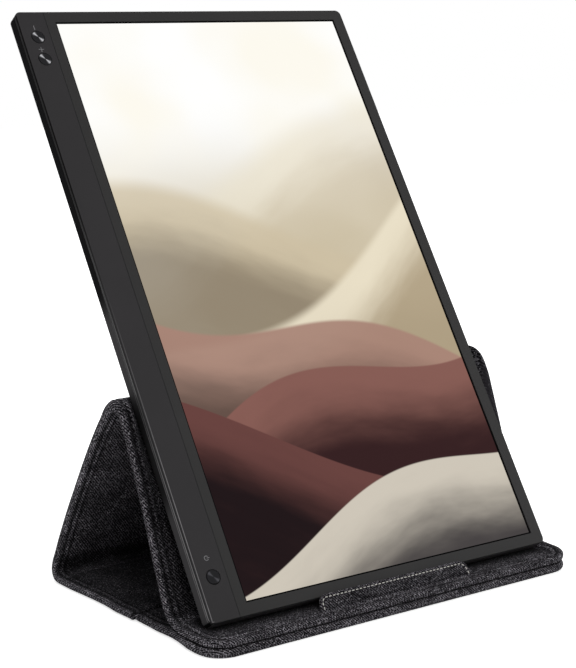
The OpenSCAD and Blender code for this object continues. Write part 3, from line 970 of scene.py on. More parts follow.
class FoldLine:
    """The cover's middle line in the YZ plane and its half thickness, by distance from the base's front edge.

    The line runs back along the base, round the rear fold, up the back panel, over the ridge, down the
    support panel and forward along the ledge. Its left side faces into the folded wedge.
    """

    def __init__(self, knots: tuple[tuple[float, float, float], ...]) -> None:
        """Draws a smooth line through the knots.

        Args:
            knots: Y, Z and thickness at each knot, in millimetres.
        """
        fine = self._through(np.array(knots) * MM, 60)
        gaps = np.hypot(*np.diff(fine[:, :2], axis=0).T)
        self.s = np.concatenate([[0], np.cumsum(gaps)])
        self.points = fine
        slope = np.gradient(fine[:, :2], self.s, axis=0)
        slope /= np.hypot(slope[:, 0], slope[:, 1])[:, None]
        self.normal = np.stack([-slope[:, 1], slope[:, 0]], axis=1)
        self.length = float(self.s[-1])

    @staticmethod
    def _through(knots: np.ndarray, steps: int) -> np.ndarray:
        """A centripetal Catmull-Rom line through knots.

        Args:
            knots: The knots.
            steps: Points for each stretch.

        Returns:
            The line's points.
        """
        ends = np.vstack([2 * knots[0] - knots[1], knots, 2 * knots[-1] - knots[-2]])
        line = []
        for a, b, c, d in zip(ends, ends[1:], ends[2:], ends[3:]):
            t = np.cumsum([0] + [max(np.hypot(*(q - p)[:2]) ** 0.5, 1e-6) for p, q in ((a, b), (b, c), (c, d))])
            for u in np.linspace(t[1], t[2], steps, endpoint=False):
                ab = (t[1] - u) / t[1] * a + u / t[1] * b
                bc = (t[2] - u) / (t[2] - t[1]) * b + (u - t[1]) / (t[2] - t[1]) * c
                cd = (t[3] - u) / (t[3] - t[2]) * c + (u - t[2]) / (t[3] - t[2]) * d
                abc = (t[2] - u) / t[2] * ab + u / t[2] * bc
                bcd = (t[3] - u) / (t[3] - t[1]) * bc + (u - t[1]) / (t[3] - t[1]) * cd
                line.append((t[2] - u) / (t[2] - t[1]) * abc + (u - t[1]) / (t[2] - t[1]) * bcd)
        return np.vstack([line, knots[-1:]])

    def nearest(self, y: float, z: float) -> float:
        """Distance along the line of its point nearest to a place, in millimetres as given."""
        gap = np.hypot(self.points[:, 0] - y * MM, self.points[:, 1] - z * MM)
        return float(self.s[int(np.argmin(gap))])

    def mark(self, landmark: Landmark) -> float:
        """Distance along the line of a landmark."""
        return self.nearest(*landmark.value)

    def at(self, s: np.ndarray, offset: np.ndarray) -> tuple[np.ndarray, np.ndarray]:
        """Places at distances along the line and offsets to its left.

        Args:
            s: Distances along the line.
            offset: Offsets to the left, into the wedge.

        Returns:
            Y and Z.
        """
        y, z = (np.interp(s, self.s, self.points[:, k]) for k in (0, 1))
        ny, nz = (np.interp(s, self.s, self.normal[:, k]) for k in (0, 1))
        return y + ny * offset, z + nz * offset

    def half(self, s: np.ndarray) -> np.ndarray:
        """Half of the cover's thickness at distances along the line."""
        return np.interp(s, self.s, self.points[:, 2]) / 2


@dataclass
class CoverShape:
    """The sewn cover as it lies flat, and how it is folded.

    Attributes:
        width: Its width.
        corner: Radius of its free corners.
        seams: The two sewn grooves inside the rim: distance from the edge, width and depth.
        crease_y: Place of the crease across the base, in millimetres.
        crease_w: Half width of the crease.
        crease_depth: How far the crease is pressed in on either face.
        welt: Distance from the edge of the crest between the two grooves.
        slack: How much thinner the panels are inside the grooves.
        room: Gap to the monitor where the cover is pressed flat.
        clear_of: Height under which the support panel stands clear of the monitor.
        line: The folded middle line.
        relief: The wadding's small crowns and hollows.
    """

    width: float = 243 * MM
    corner: float = 14.5 * MM
    seams: tuple[tuple[float, float, float], ...] = (
        (3.8 * MM, 0.75 * MM, 0.65 * MM), (7.3 * MM, 0.6 * MM, 0.60 * MM))
    crease_y: float = -8.2
    crease_w: float = 1.3 * MM
    crease_depth: float = 1.3 * MM
    welt: float = 5.45 * MM
    slack: float = 0.22 * MM
    room: float = 0.35 * MM
    clear_of: float = 30 * MM
    line: FoldLine = field(init=False)
    relief: "Relief | None" = None

    def __post_init__(self) -> None:
        """Draws the folded line and the places where its sides stand off it."""
        self.line = FoldLine((
            (-87.3, 2.6, 5.2), (-40.0, 2.6, 5.2), (0.0, 2.6, 5.2), (40.0, 2.6, 5.2), (70.0, 2.6, 5.2),
            (78.5, 2.9, 5.0), (82.6, 5.2, 4.7), (83.0, 8.8, 4.6), (79.2, 16.6, 4.8), (70.4, 32.2, 4.8),
            (52.4, 58.4, 4.8), (28.2, 89.4, 4.8), (14.5, 105.0, 5.2), (8.0, 110.9, 6.4), (1.8, 113.3, 7.6),
            (-5.2, 111.2, 7.4), (-10.9, 102.4, 5.4), (-14.8, 93.8, 4.8), (-19.1, 83.9, 4.7),
            (-25.4, 65.5, 4.7), (-31.5, 45.4, 4.7), (-37.6, 27.3, 4.7), (-41.0, 17.0, 4.6),
            (-45.6, 10.6, 4.4), (-53.5, 7.9, 4.0), (-64.0, 7.45, 3.9), (-87.3, 7.45, 3.9)))
        self.crease_s = self.line.nearest(self.crease_y, 2.6)
        self.loose = self._profile((
            (14.5, 105.0, 0.0), (8.0, 110.9, 0.8), (1.8, 113.3, 1.5), (-5.2, 111.2, 2.6), (-10.9, 102.4, 3.2),
            (-14.8, 93.8, 2.6), (-19.1, 83.9, 1.7), (-25.4, 65.5, 1.6), (-31.5, 45.4, 1.6), (-41.0, 17.0, 2.6),
            (-45.6, 10.6, 2.8), (-53.5, 7.9, 2.4), (-64.0, 7.45, 1.8), (-86.0, 7.45, 0.9)))
        self.lifted = self._profile((
            (28.2, 89.4, 0.0), (14.5, 105.0, 0.2), (8.0, 110.9, 0.9), (1.8, 113.3, 1.3), (-5.2, 111.2, 1.0),
            (-10.9, 102.4, 0.3), (-14.8, 93.8, 0.0)))
        self.left_edge = self._profile((
            (-87.0, 2.6, 0.0), (-75.0, 2.6, -0.5), (-69.0, 2.6, -1.0), (-62.0, 2.6, -0.8), (-56.0, 2.6, 0.1),
            (-49.0, 2.6, 1.0), (-42.0, 2.6, 1.3), (-30.0, 2.6, 0.45), (-23.0, 2.6, 0.6), (-10.0, 2.6, 0.5),
            (-8.8, 2.6, 0.4), (-7.4, 2.6, -1.4), (-4.5, 2.6, -0.9), (0.0, 2.6, -1.1), (10.0, 2.6, -1.6),
            (18.0, 2.6, -1.1), (24.0, 2.6, -0.9), (35.0, 2.6, -1.2), (46.0, 2.6, -1.8), (60.0, 2.6, -2.7),
            (73.0, 2.6, -3.0), (78.5, 2.9, -2.6), (82.6, 5.2, -1.5), (83.0, 8.8, -1.0), (79.2, 16.6, -0.6),
            (70.4, 32.2, -0.3), (52.4, 58.4, -0.7), (28.2, 89.4, -2.1), (14.5, 105.0, -2.5), (1.8, 113.3, -2.9),
            (-10.9, 102.4, -3.0), (-19.1, 83.9, -2.8), (-25.4, 65.5, -2.0), (-31.5, 45.4, -1.4),
            (-37.6, 27.3, -1.0), (-45.6, 10.6, -0.5), (-64.0, 7.45, 0.0)))

    def _profile(self, knots: tuple[tuple[float, float, float], ...]) -> tuple[np.ndarray, np.ndarray]:
        """Distances along the line and values there in metres, from Y, Z and value in millimetres."""
        pairs = sorted((self.line.nearest(y, z), value * MM) for y, z, value in knots)
        return np.array([p[0] for p in pairs]), np.array([p[1] for p in pairs])

    def edge(self, x: np.ndarray, s: np.ndarray) -> tuple[np.ndarray, np.ndarray]:
        """Distance of flat places from the cover's outline, positive inside, and the way out to it."""
        half = self.line.length / 2
        return outline(x, s - half, self.width / 2, half, self.corner)

    def half_width(self, s: np.ndarray) -> np.ndarray:
        """Half of the cover's width at distances along the line, less at its rounded corners."""
        inset = np.maximum(self.corner - np.minimum(s, self.line.length - s), 0)
        return self.width / 2 - self.corner + np.sqrt(np.maximum(self.corner ** 2 - inset ** 2, 0))

    def half_thickness(self, x: np.ndarray, s: np.ndarray) -> np.ndarray:
        """Half of the thickness at flat places: round rims, the sewn grooves inside them, and the crease.

        Args:
            x: Across the cover.
            s: Along it.

        Returns:
            Half of the thickness.
        """
        full = self.line.half(s)
        d = np.maximum(self.edge(x, s)[0], 0)
        seam = sum(depth * bell(d - at, wide) for at, wide, depth in self.seams)
        soft = self.slack * step((d - 5.3 * MM) / (5 * MM))
        crease = self.crease_depth * bell(s - self.crease_s, self.crease_w) * np.minimum(1, d / full)
        return round_rim(d, full) - seam - crease - soft

    def tone(self, x: np.ndarray, s: np.ndarray, side: np.ndarray) -> np.ndarray:
        """How light the cloth is at flat places: painted highlights and seam shade, times the painted light
        that it catches.
        """
        d = np.maximum(self.edge(x, s)[0], 0)
        return np.clip(self._rim_highlight_and_seam_shade(s, d) * self._light(x, s, side, d), 0.06, 2.4)

    def _rim_highlight_and_seam_shade(self, s: np.ndarray, d: np.ndarray) -> np.ndarray:
        """Painted light and shade of the weave: painted highlights on the rims and the welt's crest, painted
        shade in the seams and the crease.

        Args:
            s: Along the cover.
            d: Distance from its edge.

        Returns:
            The lightness, 1 on plain cloth.
        """
        line = self.line
        # Painted shade in the seams' grooves and the crease; painted highlights on the welt's crest and the
        # rims
        seam = sum((0.3 + depth / (1.6 * MM)) * bell(d - at, wide) for at, wide, depth in self.seams)
        leaning = (s > line.mark(Landmark.RIDGE)) & (s < line.mark(Landmark.SUPPORT_FOOT))
        welt = np.where(leaning, 0.5, 0.95) * bell(d - self.welt, 0.75 * MM)
        free_end = np.minimum(s, line.length - s) < d + 0.5 * MM
        rim = np.where(free_end, 0.3, np.where(leaning, 0.4, 0.9)) * (1 - step((d - 0.6 * MM) / (1.8 * MM)))
        crease = 0.8 * bell(s - self.crease_s, self.crease_w)
        return 1 + rim + welt - np.where(free_end, 0.5, 1.0) * seam - crease

    def _light(self, x: np.ndarray, s: np.ndarray, side: np.ndarray, d: np.ndarray) -> np.ndarray:
        """How much light the cloth catches: little on the floor, in the rear fold and where it faces cloth.

        Args:
            x: Across the cover.
            s: Along it.
            side: 1 on the inner side, -1 on the outer one.
            d: Distance from its edge.

        Returns:
            The light, 1 in the open.
        """
        line = self.line
        inner, outer = side > 0, side < 0
        floor = inner * (s > line.mark(Landmark.FLOOR_FRONT)) * (s < line.mark(Landmark.FLOOR_REAR))
        light = 1 - 0.5 * floor * step((d - 0.3 * MM) / (6 * MM))
        past = s - line.mark(Landmark.REAR_FOLD)
        fold = bell(past, np.where(past > 0, 5.5 * MM, 15 * MM))
        light -= 0.75 * inner * fold * step((d - 1 * MM) / (5 * MM))
        below_ridge = 1 - step((s - line.mark(Landmark.RIDGE)) / (9 * MM))
        light += 0.34 * inner * step((s - line.mark(Landmark.BACK_LOW)) / (55 * MM)) * below_ridge
        facing = inner * ((s < line.mark(Landmark.FLOOR_FRONT)) | (s > line.mark(Landmark.LEDGE_REAR)))
        light -= 0.85 * facing * step((d - 0.8 * MM) / (1.2 * MM))
        behind = outer * (s > line.mark(Landmark.RIDGE_FRONT)) * (s < line.mark(Landmark.LEDGE_FOLD))
        high = 1 - step((s - line.mark(Landmark.SUPPORT_MIDDLE)) / (30 * MM))
        light -= np.where(x < 0, 0.52 + 0.16 * high, 0.08) * behind * step((d - 1.2 * MM) / (1.4 * MM))
        under = outer * (s > line.mark(Landmark.LEDGE_REAR)) * (1 - step((np.abs(x) - 110 * MM) / (5 * MM)))
        light -= 0.8 * under * step((line.length - s - 11 * MM) / (9 * MM))
        return light

    def felted(self, x: np.ndarray, s: np.ndarray, side: np.ndarray) -> np.ndarray:
        """How much of the painted lit patch covers flat places: an even lit grey painted where the monitor's
        edge passes the right side.

        Args:
            x: Across the cover.
            s: Along it.
            side: 1 on the inner side, -1 on the outer one.

        Returns:
            From 0 to 1.
        """
        start = step((s - self.line.mark(Landmark.RUBBED_TOP)) / (14 * MM))
        end = 1 - step((s - self.line.mark(Landmark.RUBBED_FOOT)) / (9 * MM))
        return 0.8 * (side < 0) * start * end * step((x - 104 * MM) / (5 * MM))

    def cloth(self, x: np.ndarray, s: np.ndarray) -> np.ndarray:
        """Places on the cloth of flat places, with the length that goes round the rims."""
        d, way = self.edge(x, s)
        return np.stack([x, s], axis=-1) + way * unrolled(np.maximum(d, 0), self.line.half(s))[..., None]

    def folded(self, x: np.ndarray, s: np.ndarray, side: np.ndarray) -> np.ndarray:
        """Folded places of flat ones.

        Args:
            x: Across the cover.
            s: Along it.
            side: 1 on the inner side, -1 on the outer one.

        Returns:
            The places in the frame.
        """
        swell = self.relief.at(x, s, side) if self.relief else 0.0
        d = np.maximum(self.edge(x, s)[0], 0)
        floor = step((s - self.line.mark(Landmark.FLOOR_FRONT)) / (20 * MM))
        floor *= s < self.line.mark(Landmark.REAR_FOLD_BACK)
        hollow = step(d / (2.5 * MM)) * (1 - step((d - 5 * MM) / (8 * MM)))
        swell = swell - 0.8 * MM * (side > 0) * floor * hollow
        loose = np.interp(s, *self.loose) * step((x - 113.4 * MM) / (5.5 * MM))
        loose += np.interp(s, *self.lifted) * step((-x - 85 * MM) / (30 * MM))
        y, z = self.line.at(s, side * (self.half_thickness(x, s) + swell) - loose)
        pulled = np.interp(s, *self.left_edge) * step((-x - 60 * MM) / (61 * MM))
        return self._pressed(np.stack([x + pulled, y, np.maximum(z, 0)], axis=1), s)

    def _pressed(self, points: np.ndarray, s: np.ndarray) -> np.ndarray:
        """Presses the folded cover back where the monitor leans on it.

        Args:
            points: Folded places.
            s: Their distances along the line.

        Returns:
            The pressed places.
        """
        front = np.stack([np.zeros(len(s)), *self.line.at(s, -self.line.half(s))], axis=1)
        depth = (front - np.array(FOOT)) @ -np.array(OUT_OF_FACE)
        push = np.clip(MONITOR_T + self.room - depth, 0, None) * (front[:, 2] > self.clear_of)
        share = 1 - step((np.abs(points[:, 0]) - MONITOR_W / 2 - 0.4 * MM) / (4.2 * MM))
        return points - np.outer(push * share, np.array(OUT_OF_FACE))


@dataclass
class Relief:
    """Small crowns and hollows of the wadding, simulated as cloth on a coarse copy of the folded cover.

    Attributes:
        shape: The cover.
        cell: Size of the copy's cells.
        frames: Steps of the simulation.
        swell: Greatest crown.
        sink: Greatest hollow.
        jitter: How uneven the copy starts.
        seed: Seed of the unevenness.
    """

    shape: CoverShape
    cell: float = 5.5 * MM
    frames: int = 14
    swell: float = 0.75 * MM
    sink: float = 0.45 * MM
    jitter: float = 0.06 * MM
    seed: int = 11

    def __post_init__(self) -> None:
        """Lays out the coarse copy's rows and columns."""
        length = self.shape.line.length
        self.rows = np.linspace(0, length, int(length / self.cell))
        self.columns = np.linspace(-1, 1, int(self.shape.width / self.cell))
        self.height = np.zeros((2, len(self.rows), len(self.columns)))

    def simulate(self) -> None:
        """Blows the copy up a little with its rims, seams and folds held, and keeps how far it moved."""
        s = np.repeat(self.rows[:, None], len(self.columns), axis=1)
        x = self.columns[None, :] * self.shape.half_width(s)
        copy = two_faced("cover_wadding", x, s)
        side = np.where(coordinates(copy)[:, 2] > 0, 1.0, -1.0)
        flat_x, flat_s = np.tile(x.ravel(), 2), np.tile(s.ravel(), 2)
        d = np.maximum(self.shape.edge(flat_x, flat_s)[0], 0)
        half = np.maximum(round_rim(d, self.shape.line.half(flat_s)), 0.5 * MM)
        y, z = self.shape.line.at(flat_s, side * half)
        start = np.stack([flat_x, y, z], axis=1)
        start += np.random.default_rng(self.seed).normal(0, self.jitter, start.shape)
        move_to(copy, start)
        only(copy)
        held = self._held(flat_x, flat_s, side, d)
        group = copy.vertex_groups.new(name="held")
        for weight in np.unique(np.round(held, 1)):
            group.add(np.flatnonzero(np.round(held, 1) == weight).tolist(), float(weight), "REPLACE")
        self._stuff(copy)
        for frame_number in range(1, self.frames + 1):
            bpy.context.scene.frame_set(frame_number)
        apply_modifiers(copy)
        moved = coordinates(copy) - start
        bpy.context.scene.frame_set(1)
        bpy.data.objects.remove(copy)
        ny, nz = (np.interp(flat_s, self.shape.line.s, self.shape.line.normal[:, k]) for k in (0, 1))
        out = (moved[:, 1] * ny + moved[:, 2] * nz) * side * (1 - held)
        crowns = self.swell * np.tanh(np.maximum(out, 0) / self.swell)
        out = crowns - self.sink * np.tanh(np.maximum(-out, 0) / self.sink)
        faces = out.reshape(2, len(self.rows), len(self.columns))
        self.height = faces if side[0] > 0 else faces[::-1]
        LOG.info("cover_wadding: %.2f to %.2f mm", out.min() / MM, out.max() / MM)

    def _held(self, x: np.ndarray, s: np.ndarray, side: np.ndarray, d: np.ndarray) -> np.ndarray:
        """How firmly each point is held: at the rims, on the floor, between base and ledge, under the monitor.

        Args:
            x: Across the cover.
            s: Along it.
            side: 1 on the inner side, -1 on the outer one.
            d: Distance from the outline.

        Returns:
            From 0, free, to 1, held.
        """
        line = self.shape.line
        rims = 1 - step((d - 6 * MM) / (9 * MM))
        crease = bell(s - self.shape.crease_s, 5 * MM)
        covered = (s < line.mark(Landmark.LEDGE_OVER)) | (s > line.mark(Landmark.SUPPORT_FOOT))
        beneath = (side > 0) & covered
        floor = (side < 0) & (s < line.mark(Landmark.REAR_FOLD_LOW))
        pressed = (side < 0) & (s > line.mark(Landmark.RIDGE))
        return np.clip(np.maximum(np.maximum(rims, crease), (beneath | floor | pressed) * 1.0), 0, 1)

    def _stuff(self, copy: Obj) -> None:
        """Gives the copy its cloth, with pressure inside and no weight.

        Args:
            copy: The coarse copy.
        """
        cloth = copy.modifiers.new("padding", "CLOTH")
        setup = cloth.settings
        setup.quality = 5
        setup.mass = 0.2
        setup.tension_stiffness = setup.compression_stiffness = 12
        setup.shear_stiffness = 6
        setup.bending_stiffness = 0.4
        setup.shrink_min = -0.025
        setup.use_pressure = True
        setup.uniform_pressure_force = 4
        setup.effector_weights.gravity = 0
        setup.vertex_group_mass = "held"
        cloth.collision_settings.use_collision = False
        cloth.point_cache.frame_start = 1
        cloth.point_cache.frame_end = self.frames

    def at(self, x: np.ndarray, s: np.ndarray, side: np.ndarray) -> np.ndarray:
        """The swelling at flat places.

        Args:
            x: Across the cover.
            s: Along it.
            side: 1 on the inner side, -1 on the outer one.

        Returns:
            Height above the plain surface.
        """
        row = np.clip(s / self.rows[-1] * (len(self.rows) - 1), 0, len(self.rows) - 1.001)
        column = (x / self.shape.half_width(s) + 1) / 2 * (len(self.columns) - 1)
        column = np.clip(column, 0, len(self.columns) - 1.001)
        i, j = row.astype(int), column.astype(int)
        u, v = step(row - i), step(column - j)
        face = (side < 0).astype(int)
        low = self.height[face, i, j] * (1 - v) + self.height[face, i, j + 1] * v
        high = self.height[face, i + 1, j] * (1 - v) + self.height[face, i + 1, j + 1] * v
        return low * (1 - u) + high * u


@dataclass
class CoverStretch:
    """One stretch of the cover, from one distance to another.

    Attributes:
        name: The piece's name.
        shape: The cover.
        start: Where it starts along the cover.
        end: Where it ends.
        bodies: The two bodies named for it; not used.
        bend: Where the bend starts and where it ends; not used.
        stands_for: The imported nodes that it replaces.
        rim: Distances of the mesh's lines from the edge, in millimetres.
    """

    name: str
    shape: CoverShape
    start: float
    end: float
    bodies: tuple[str, str]
    bend: tuple[tuple[float, float, float], tuple[float, float, float]]
    stands_for: tuple[str, ...]
    rim: tuple[float, ...] = (
        0, 0.12, 0.45, 1.0, 1.7, 2.3, 2.8, 3.3, 3.8, 4.3, 4.8, 5.4, 6.0, 6.5, 6.9, 7.3, 7.9, 9)

    def rows(self) -> np.ndarray:
        """Distances of the mesh's rows: close at the free ends and the crease.

        Returns:
            The distances along the cover.
        """
        total = self.shape.line.length
        rim = np.array(self.rim) * MM
        crease = self.shape.crease_s + np.array([-4, -2.6, -1.7, -1.1, -0.5, 0, 0.5, 1.1, 1.7, 2.6, 4]) * MM
        marks = np.concatenate([rim, total - rim, crease, [self.start, self.end]])
        even = np.linspace(self.start, self.end, int((self.end - self.start) / (2.0 * MM)))
        far = [s for s in even if np.min(np.abs(marks - s)) > 0.9 * MM]
        inside = [s for s in np.concatenate([marks, far]) if self.start <= s <= self.end]
        return np.unique(np.round(inside, 7))

    def columns(self) -> np.ndarray:
        """Places of the mesh's columns across the full width: close at the rims and seams.

        Returns:
            The places, from left to right.
        """
        half = self.shape.width / 2
        rim = np.array(self.rim) * MM
        middle = np.linspace(-half + 11.5 * MM, half - 11.5 * MM, 92)
        return np.concatenate([-half + rim, middle, (half - rim)[::-1]])

    def build(self, material: bpy.types.Material) -> Obj:
        """Models the stretch flat as a grid, thickens it and folds it.

        Args:
            material: The cloth.

        Returns:
            The finished piece.
        """
        rows, columns = self.rows(), self.columns()
        s = np.repeat(rows[:, None], len(columns), axis=1)
        x = columns[None, :] * self.shape.half_width(s) / (self.shape.width / 2)
        obj = two_faced(self.name, x, s)
        side = np.where(coordinates(obj)[:, 2] > 0, 1.0, -1.0)
        x, s = np.tile(x.ravel(), 2), np.tile(s.ravel(), 2)
        lay_cloth(obj, self.shape.cloth(x, s), tone=self.shape.tone(x, s, side),
                  felted=self.shape.felted(x, s, side))
        move_to(obj, self.shape.folded(x, s, side))
        weld(obj)
        smooth(obj, 60)
        dress(obj, material)
        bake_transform(obj)
        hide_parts(*self.stands_for)
        return obj


class FoldingCover:
    """The fabric cover: three stretches that meet in the middle of the back and support panels."""

    def __init__(self) -> None:
        """Lays out the cover's shape and its stretches."""
        self.shape = CoverShape()
        line = self.shape.line
        back, support = line.mark(Landmark.BACK_SPLIT), line.mark(Landmark.SUPPORT_SPLIT)
        self.stretches = (
            CoverStretch("cover_base", self.shape, 0.0, back, ("base", "back_panel"),
                         ((0, 0.081, 0.0056), (0, 0.081, 0.017)),
                         ("base_front_sleeve", "base_rear_sleeve", "base_crease", "rear_fold_roll")),
            CoverStretch("cover_ridge", self.shape, back, support, ("back_panel", "support_panel"),
                         ((0, 0.009, 0.11), (0, -0.006, 0.11)), ("back_sleeve", "ridge_roll")),
            CoverStretch("cover_ledge", self.shape, support, line.length, ("support_panel", "ledge"),
                         ((0, -0.0395, 0.0165), (0, -0.0485, 0.0075)),
                         ("support_sleeve", "ledge_sleeve", "front_fold_roll")))

    def build(self, material: bpy.types.Material) -> None:
        """Builds the stretches.

        Args:
            material: The cloth.
        """
        relief = Relief(self.shape)
        relief.simulate()
        self.shape.relief = relief
        for stretch in self.stretches:
            obj = stretch.build(material)
            LOG.info("%s: %d faces", obj.name, len(obj.data.polygons))


@dataclass
class StopTab:
    """The small padded tab in front of the monitor's lower edge, with its pale seam.

    Attributes:
        width: Its width along the top.
        length: Its length from the fold to the top.
        thickness: Its thickness.
        corner: Radius of its top corners.
        flare: How much it widens towards the fold, as a share.
        slope: Its slope over the ledge.
        fold: Middle of its fold.
        foot: How far it reaches into the ledge's cloth.
        seam_in: Distance of the seam from the edge.
        groove: Depth of the groove that the seam pulls.
        pitch: Distance between stitches.
        stitch: Length of one stitch.
        thread: Radius of the thread.
        lift: Height of a stitch's middle over the tab's face.
        dip: How far its ends are pulled into the cloth.
    """

    width: float = 99.6 * MM
    length: float = 7.6 * MM
    thickness: float = 1.6 * MM
    corner: float = 5.2 * MM
    flare: float = 0.12
    slope: float = math.radians(52)
    fold: tuple[float, float, float] = (0.0, -79.2 * MM, 10.4 * MM)
    foot: float = 1.6 * MM
    seam_in: float = 1.9 * MM
    groove: float = 0.16 * MM
    pitch: float = 2.5 * MM
    stitch: float = 1.2 * MM
    thread: float = 0.24 * MM
    lift: float = 0.02 * MM
    dip: float = 0.1 * MM

    def placed(self, points: np.ndarray) -> np.ndarray:
        """Places of the tab's own points in the frame.

        Args:
            points: Across, up from the fold, and towards the user.

        Returns:
            The places.
        """
        up = np.array([0, math.cos(self.slope), math.sin(self.slope)])
        out = np.array([0, -math.sin(self.slope), math.cos(self.slope)])
        across = np.array(RIGHT)
        wide = 1 + self.flare * (self.length - points[:, 1:2]) / (self.width / 2) * across
        return np.array(self.fold) + (points * wide) @ np.stack([across, up, out])

    def build(self, cloth: bpy.types.Material, thread: bpy.types.Material) -> None:
        """Builds the padded tab and its seam.

        Args:
            cloth: The cover's cloth.
            thread: The pale thread.
        """
        half, side_x = self.thickness / 2, self.width / 2
        rim = np.array([0, 0.04, 0.15, 0.35, 0.6, 0.9, 1.3, 1.7, 2.1, 2.5, 3.0]) * MM
        ends = np.concatenate([rim, np.arange(3.6, 12, 0.8) * MM])
        middle = np.linspace(-side_x + 13 * MM, side_x - 13 * MM, 60)
        columns = np.concatenate([-side_x + ends, middle, (side_x - ends)[::-1]])
        rows = np.concatenate([-self.foot - half + rim[:-1], [0.6 * MM, 1.6 * MM, 2.6 * MM, 3.6 * MM],
                               (self.length - rim)[::-1]])
        v = np.repeat(rows[:, None], len(columns), axis=1)
        inset = np.maximum(self.corner - (self.length - v), 0)
        reach = side_x - self.corner + np.sqrt(np.maximum(self.corner ** 2 - inset ** 2, 0))
        x = columns[None, :] * reach / side_x
        obj = two_faced("stop_tab_pad", x, v)
        side = np.where(coordinates(obj)[:, 2] > 0, 1.0, -1.0)
        x, v = np.tile(x.ravel(), 2), np.tile(v.ravel(), 2)
        tall = self.length + self.corner
        d, way = outline(x, v - self.length + tall, side_x, tall, self.corner)
        d = np.minimum(np.maximum(d, 0), v + half + self.foot)
        pad = round_rim(d, half) - self.groove * bell(d - self.seam_in, 0.5 * MM)
        # Painted light and shade: a painted highlight on the rounded rim, painted shade in the seam's groove
        tone = 0.85 + 0.4 * (1 - step((d - 0.8 * MM) / MM)) - 0.45 * bell(d - self.seam_in, 0.45 * MM)
        lay_cloth(obj, np.stack([x, v], axis=-1) + way * unrolled(d, half)[..., None] + 0.4, tone=tone)
        move_to(obj, self.placed(np.stack([x, v, side * pad], axis=1)))
        weld(obj)
        smooth(obj, 60)
        dress(obj, cloth)
        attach(obj, "stop_tab")
        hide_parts("tab_sleeve")
        LOG.info("%s: %d faces", obj.name, len(obj.data.polygons))
        self._sew(thread, half)

    def _path(self) -> list[tuple[float, float, float]]:
        """Middles and directions of the stitches, up one end, along the top and down the other.

        Returns:
            Across, up and the turn from the horizontal, for each stitch.
        """
        end_x, top, r = self.width / 2 - self.seam_in, self.length - self.seam_in, self.corner - self.seam_in
        low = -1.3 * MM
        upright, bend = top - r - low, r * math.pi / 2
        marks = np.cumsum([upright, bend, 2 * (end_x - r), bend, upright])
        count = int(round(marks[-1] / self.pitch))
        stitches = []
        for k in range(count):
            run = (k + 0.5) * marks[-1] / count
            if run < marks[0]:
                stitches.append((-end_x, low + run, math.pi / 2))
            elif run < marks[1]:
                turn = (run - marks[0]) / r
                bent = (-end_x + r - r * math.cos(turn), top - r + r * math.sin(turn), math.pi / 2 - turn)
                stitches.append(bent)
            elif run < marks[2]:
                stitches.append((-end_x + r + run - marks[1], top, 0.0))
            elif run < marks[3]:
                turn = (run - marks[2]) / r
                stitches.append((end_x - r + r * math.sin(turn), top - r + r * math.cos(turn), -turn))
            else:
                stitches.append((end_x, top - r - (run - marks[3]), -math.pi / 2))
        return stitches

    def _stitch(self) -> Obj:
        """Models one stitch: a short thread whose ends narrow.

        Returns:
            The stitch, lying across, with its middle at the origin.
        """
        bpy.ops.object.select_all(action="DESELECT")
        bpy.ops.mesh.primitive_cylinder_add(vertices=8, radius=self.thread, depth=self.stitch,
                                            rotation=(0, math.pi / 2, 0))
        first = bpy.context.object
        first.name = first.data.name = "stop_tab_seam"
        bpy.ops.object.transform_apply(location=False, rotation=True, scale=True)
        bpy.ops.object.mode_set(mode="EDIT")
        bpy.ops.mesh.select_mode(type="FACE")
        bpy.ops.mesh.select_all(action="DESELECT")
        bpy.ops.object.mode_set(mode="OBJECT")
        for face in first.data.polygons:
            face.select = abs(face.normal.x) > 0.9
        bpy.ops.object.mode_set(mode="EDIT")
        bpy.ops.mesh.inset(thickness=self.thread * 0.45, depth=self.thread * 0.5)
        bpy.ops.object.mode_set(mode="OBJECT")
        return first

    def _sew(self, thread: bpy.types.Material, half: float) -> None:
        """Copies the stitch along the seam and joins the copies.

        Args:
            thread: The pale thread.
            half: Height of the tab's face over its middle.
        """
        first = self._stitch()
        shape = coordinates(first)
        stitches = self._path()
        pieces = [first] + [first.copy() for _ in stitches[1:]]
        for piece, (x, v, turn) in zip(pieces, stitches):
            if piece is not first:
                piece.data = first.data.copy()
                bpy.context.scene.collection.objects.link(piece)
            along, up = math.cos(turn), math.sin(turn)
            px = shape[:, 0] * along - shape[:, 1] * up + x
            py = shape[:, 0] * up + shape[:, 1] * along + v
            pulled = self.dip * (np.abs(shape[:, 0]) / (self.stitch / 2)) ** 2
            move_to(piece, self.placed(np.stack([px, py, shape[:, 2] - pulled + half + self.lift], axis=1)))
        join(pieces)
        smooth(first, 50)
        dress(first, thread)
        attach(first, "stop_tab")
        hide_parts("tab_stitching")
        LOG.info("%s: %d stitches", first.name, len(stitches))


class Mark(Enum):
    """The plain signs beside the buttons."""

    MINUS = "minus"
    PLUS = "plus"
    POWER = "power"


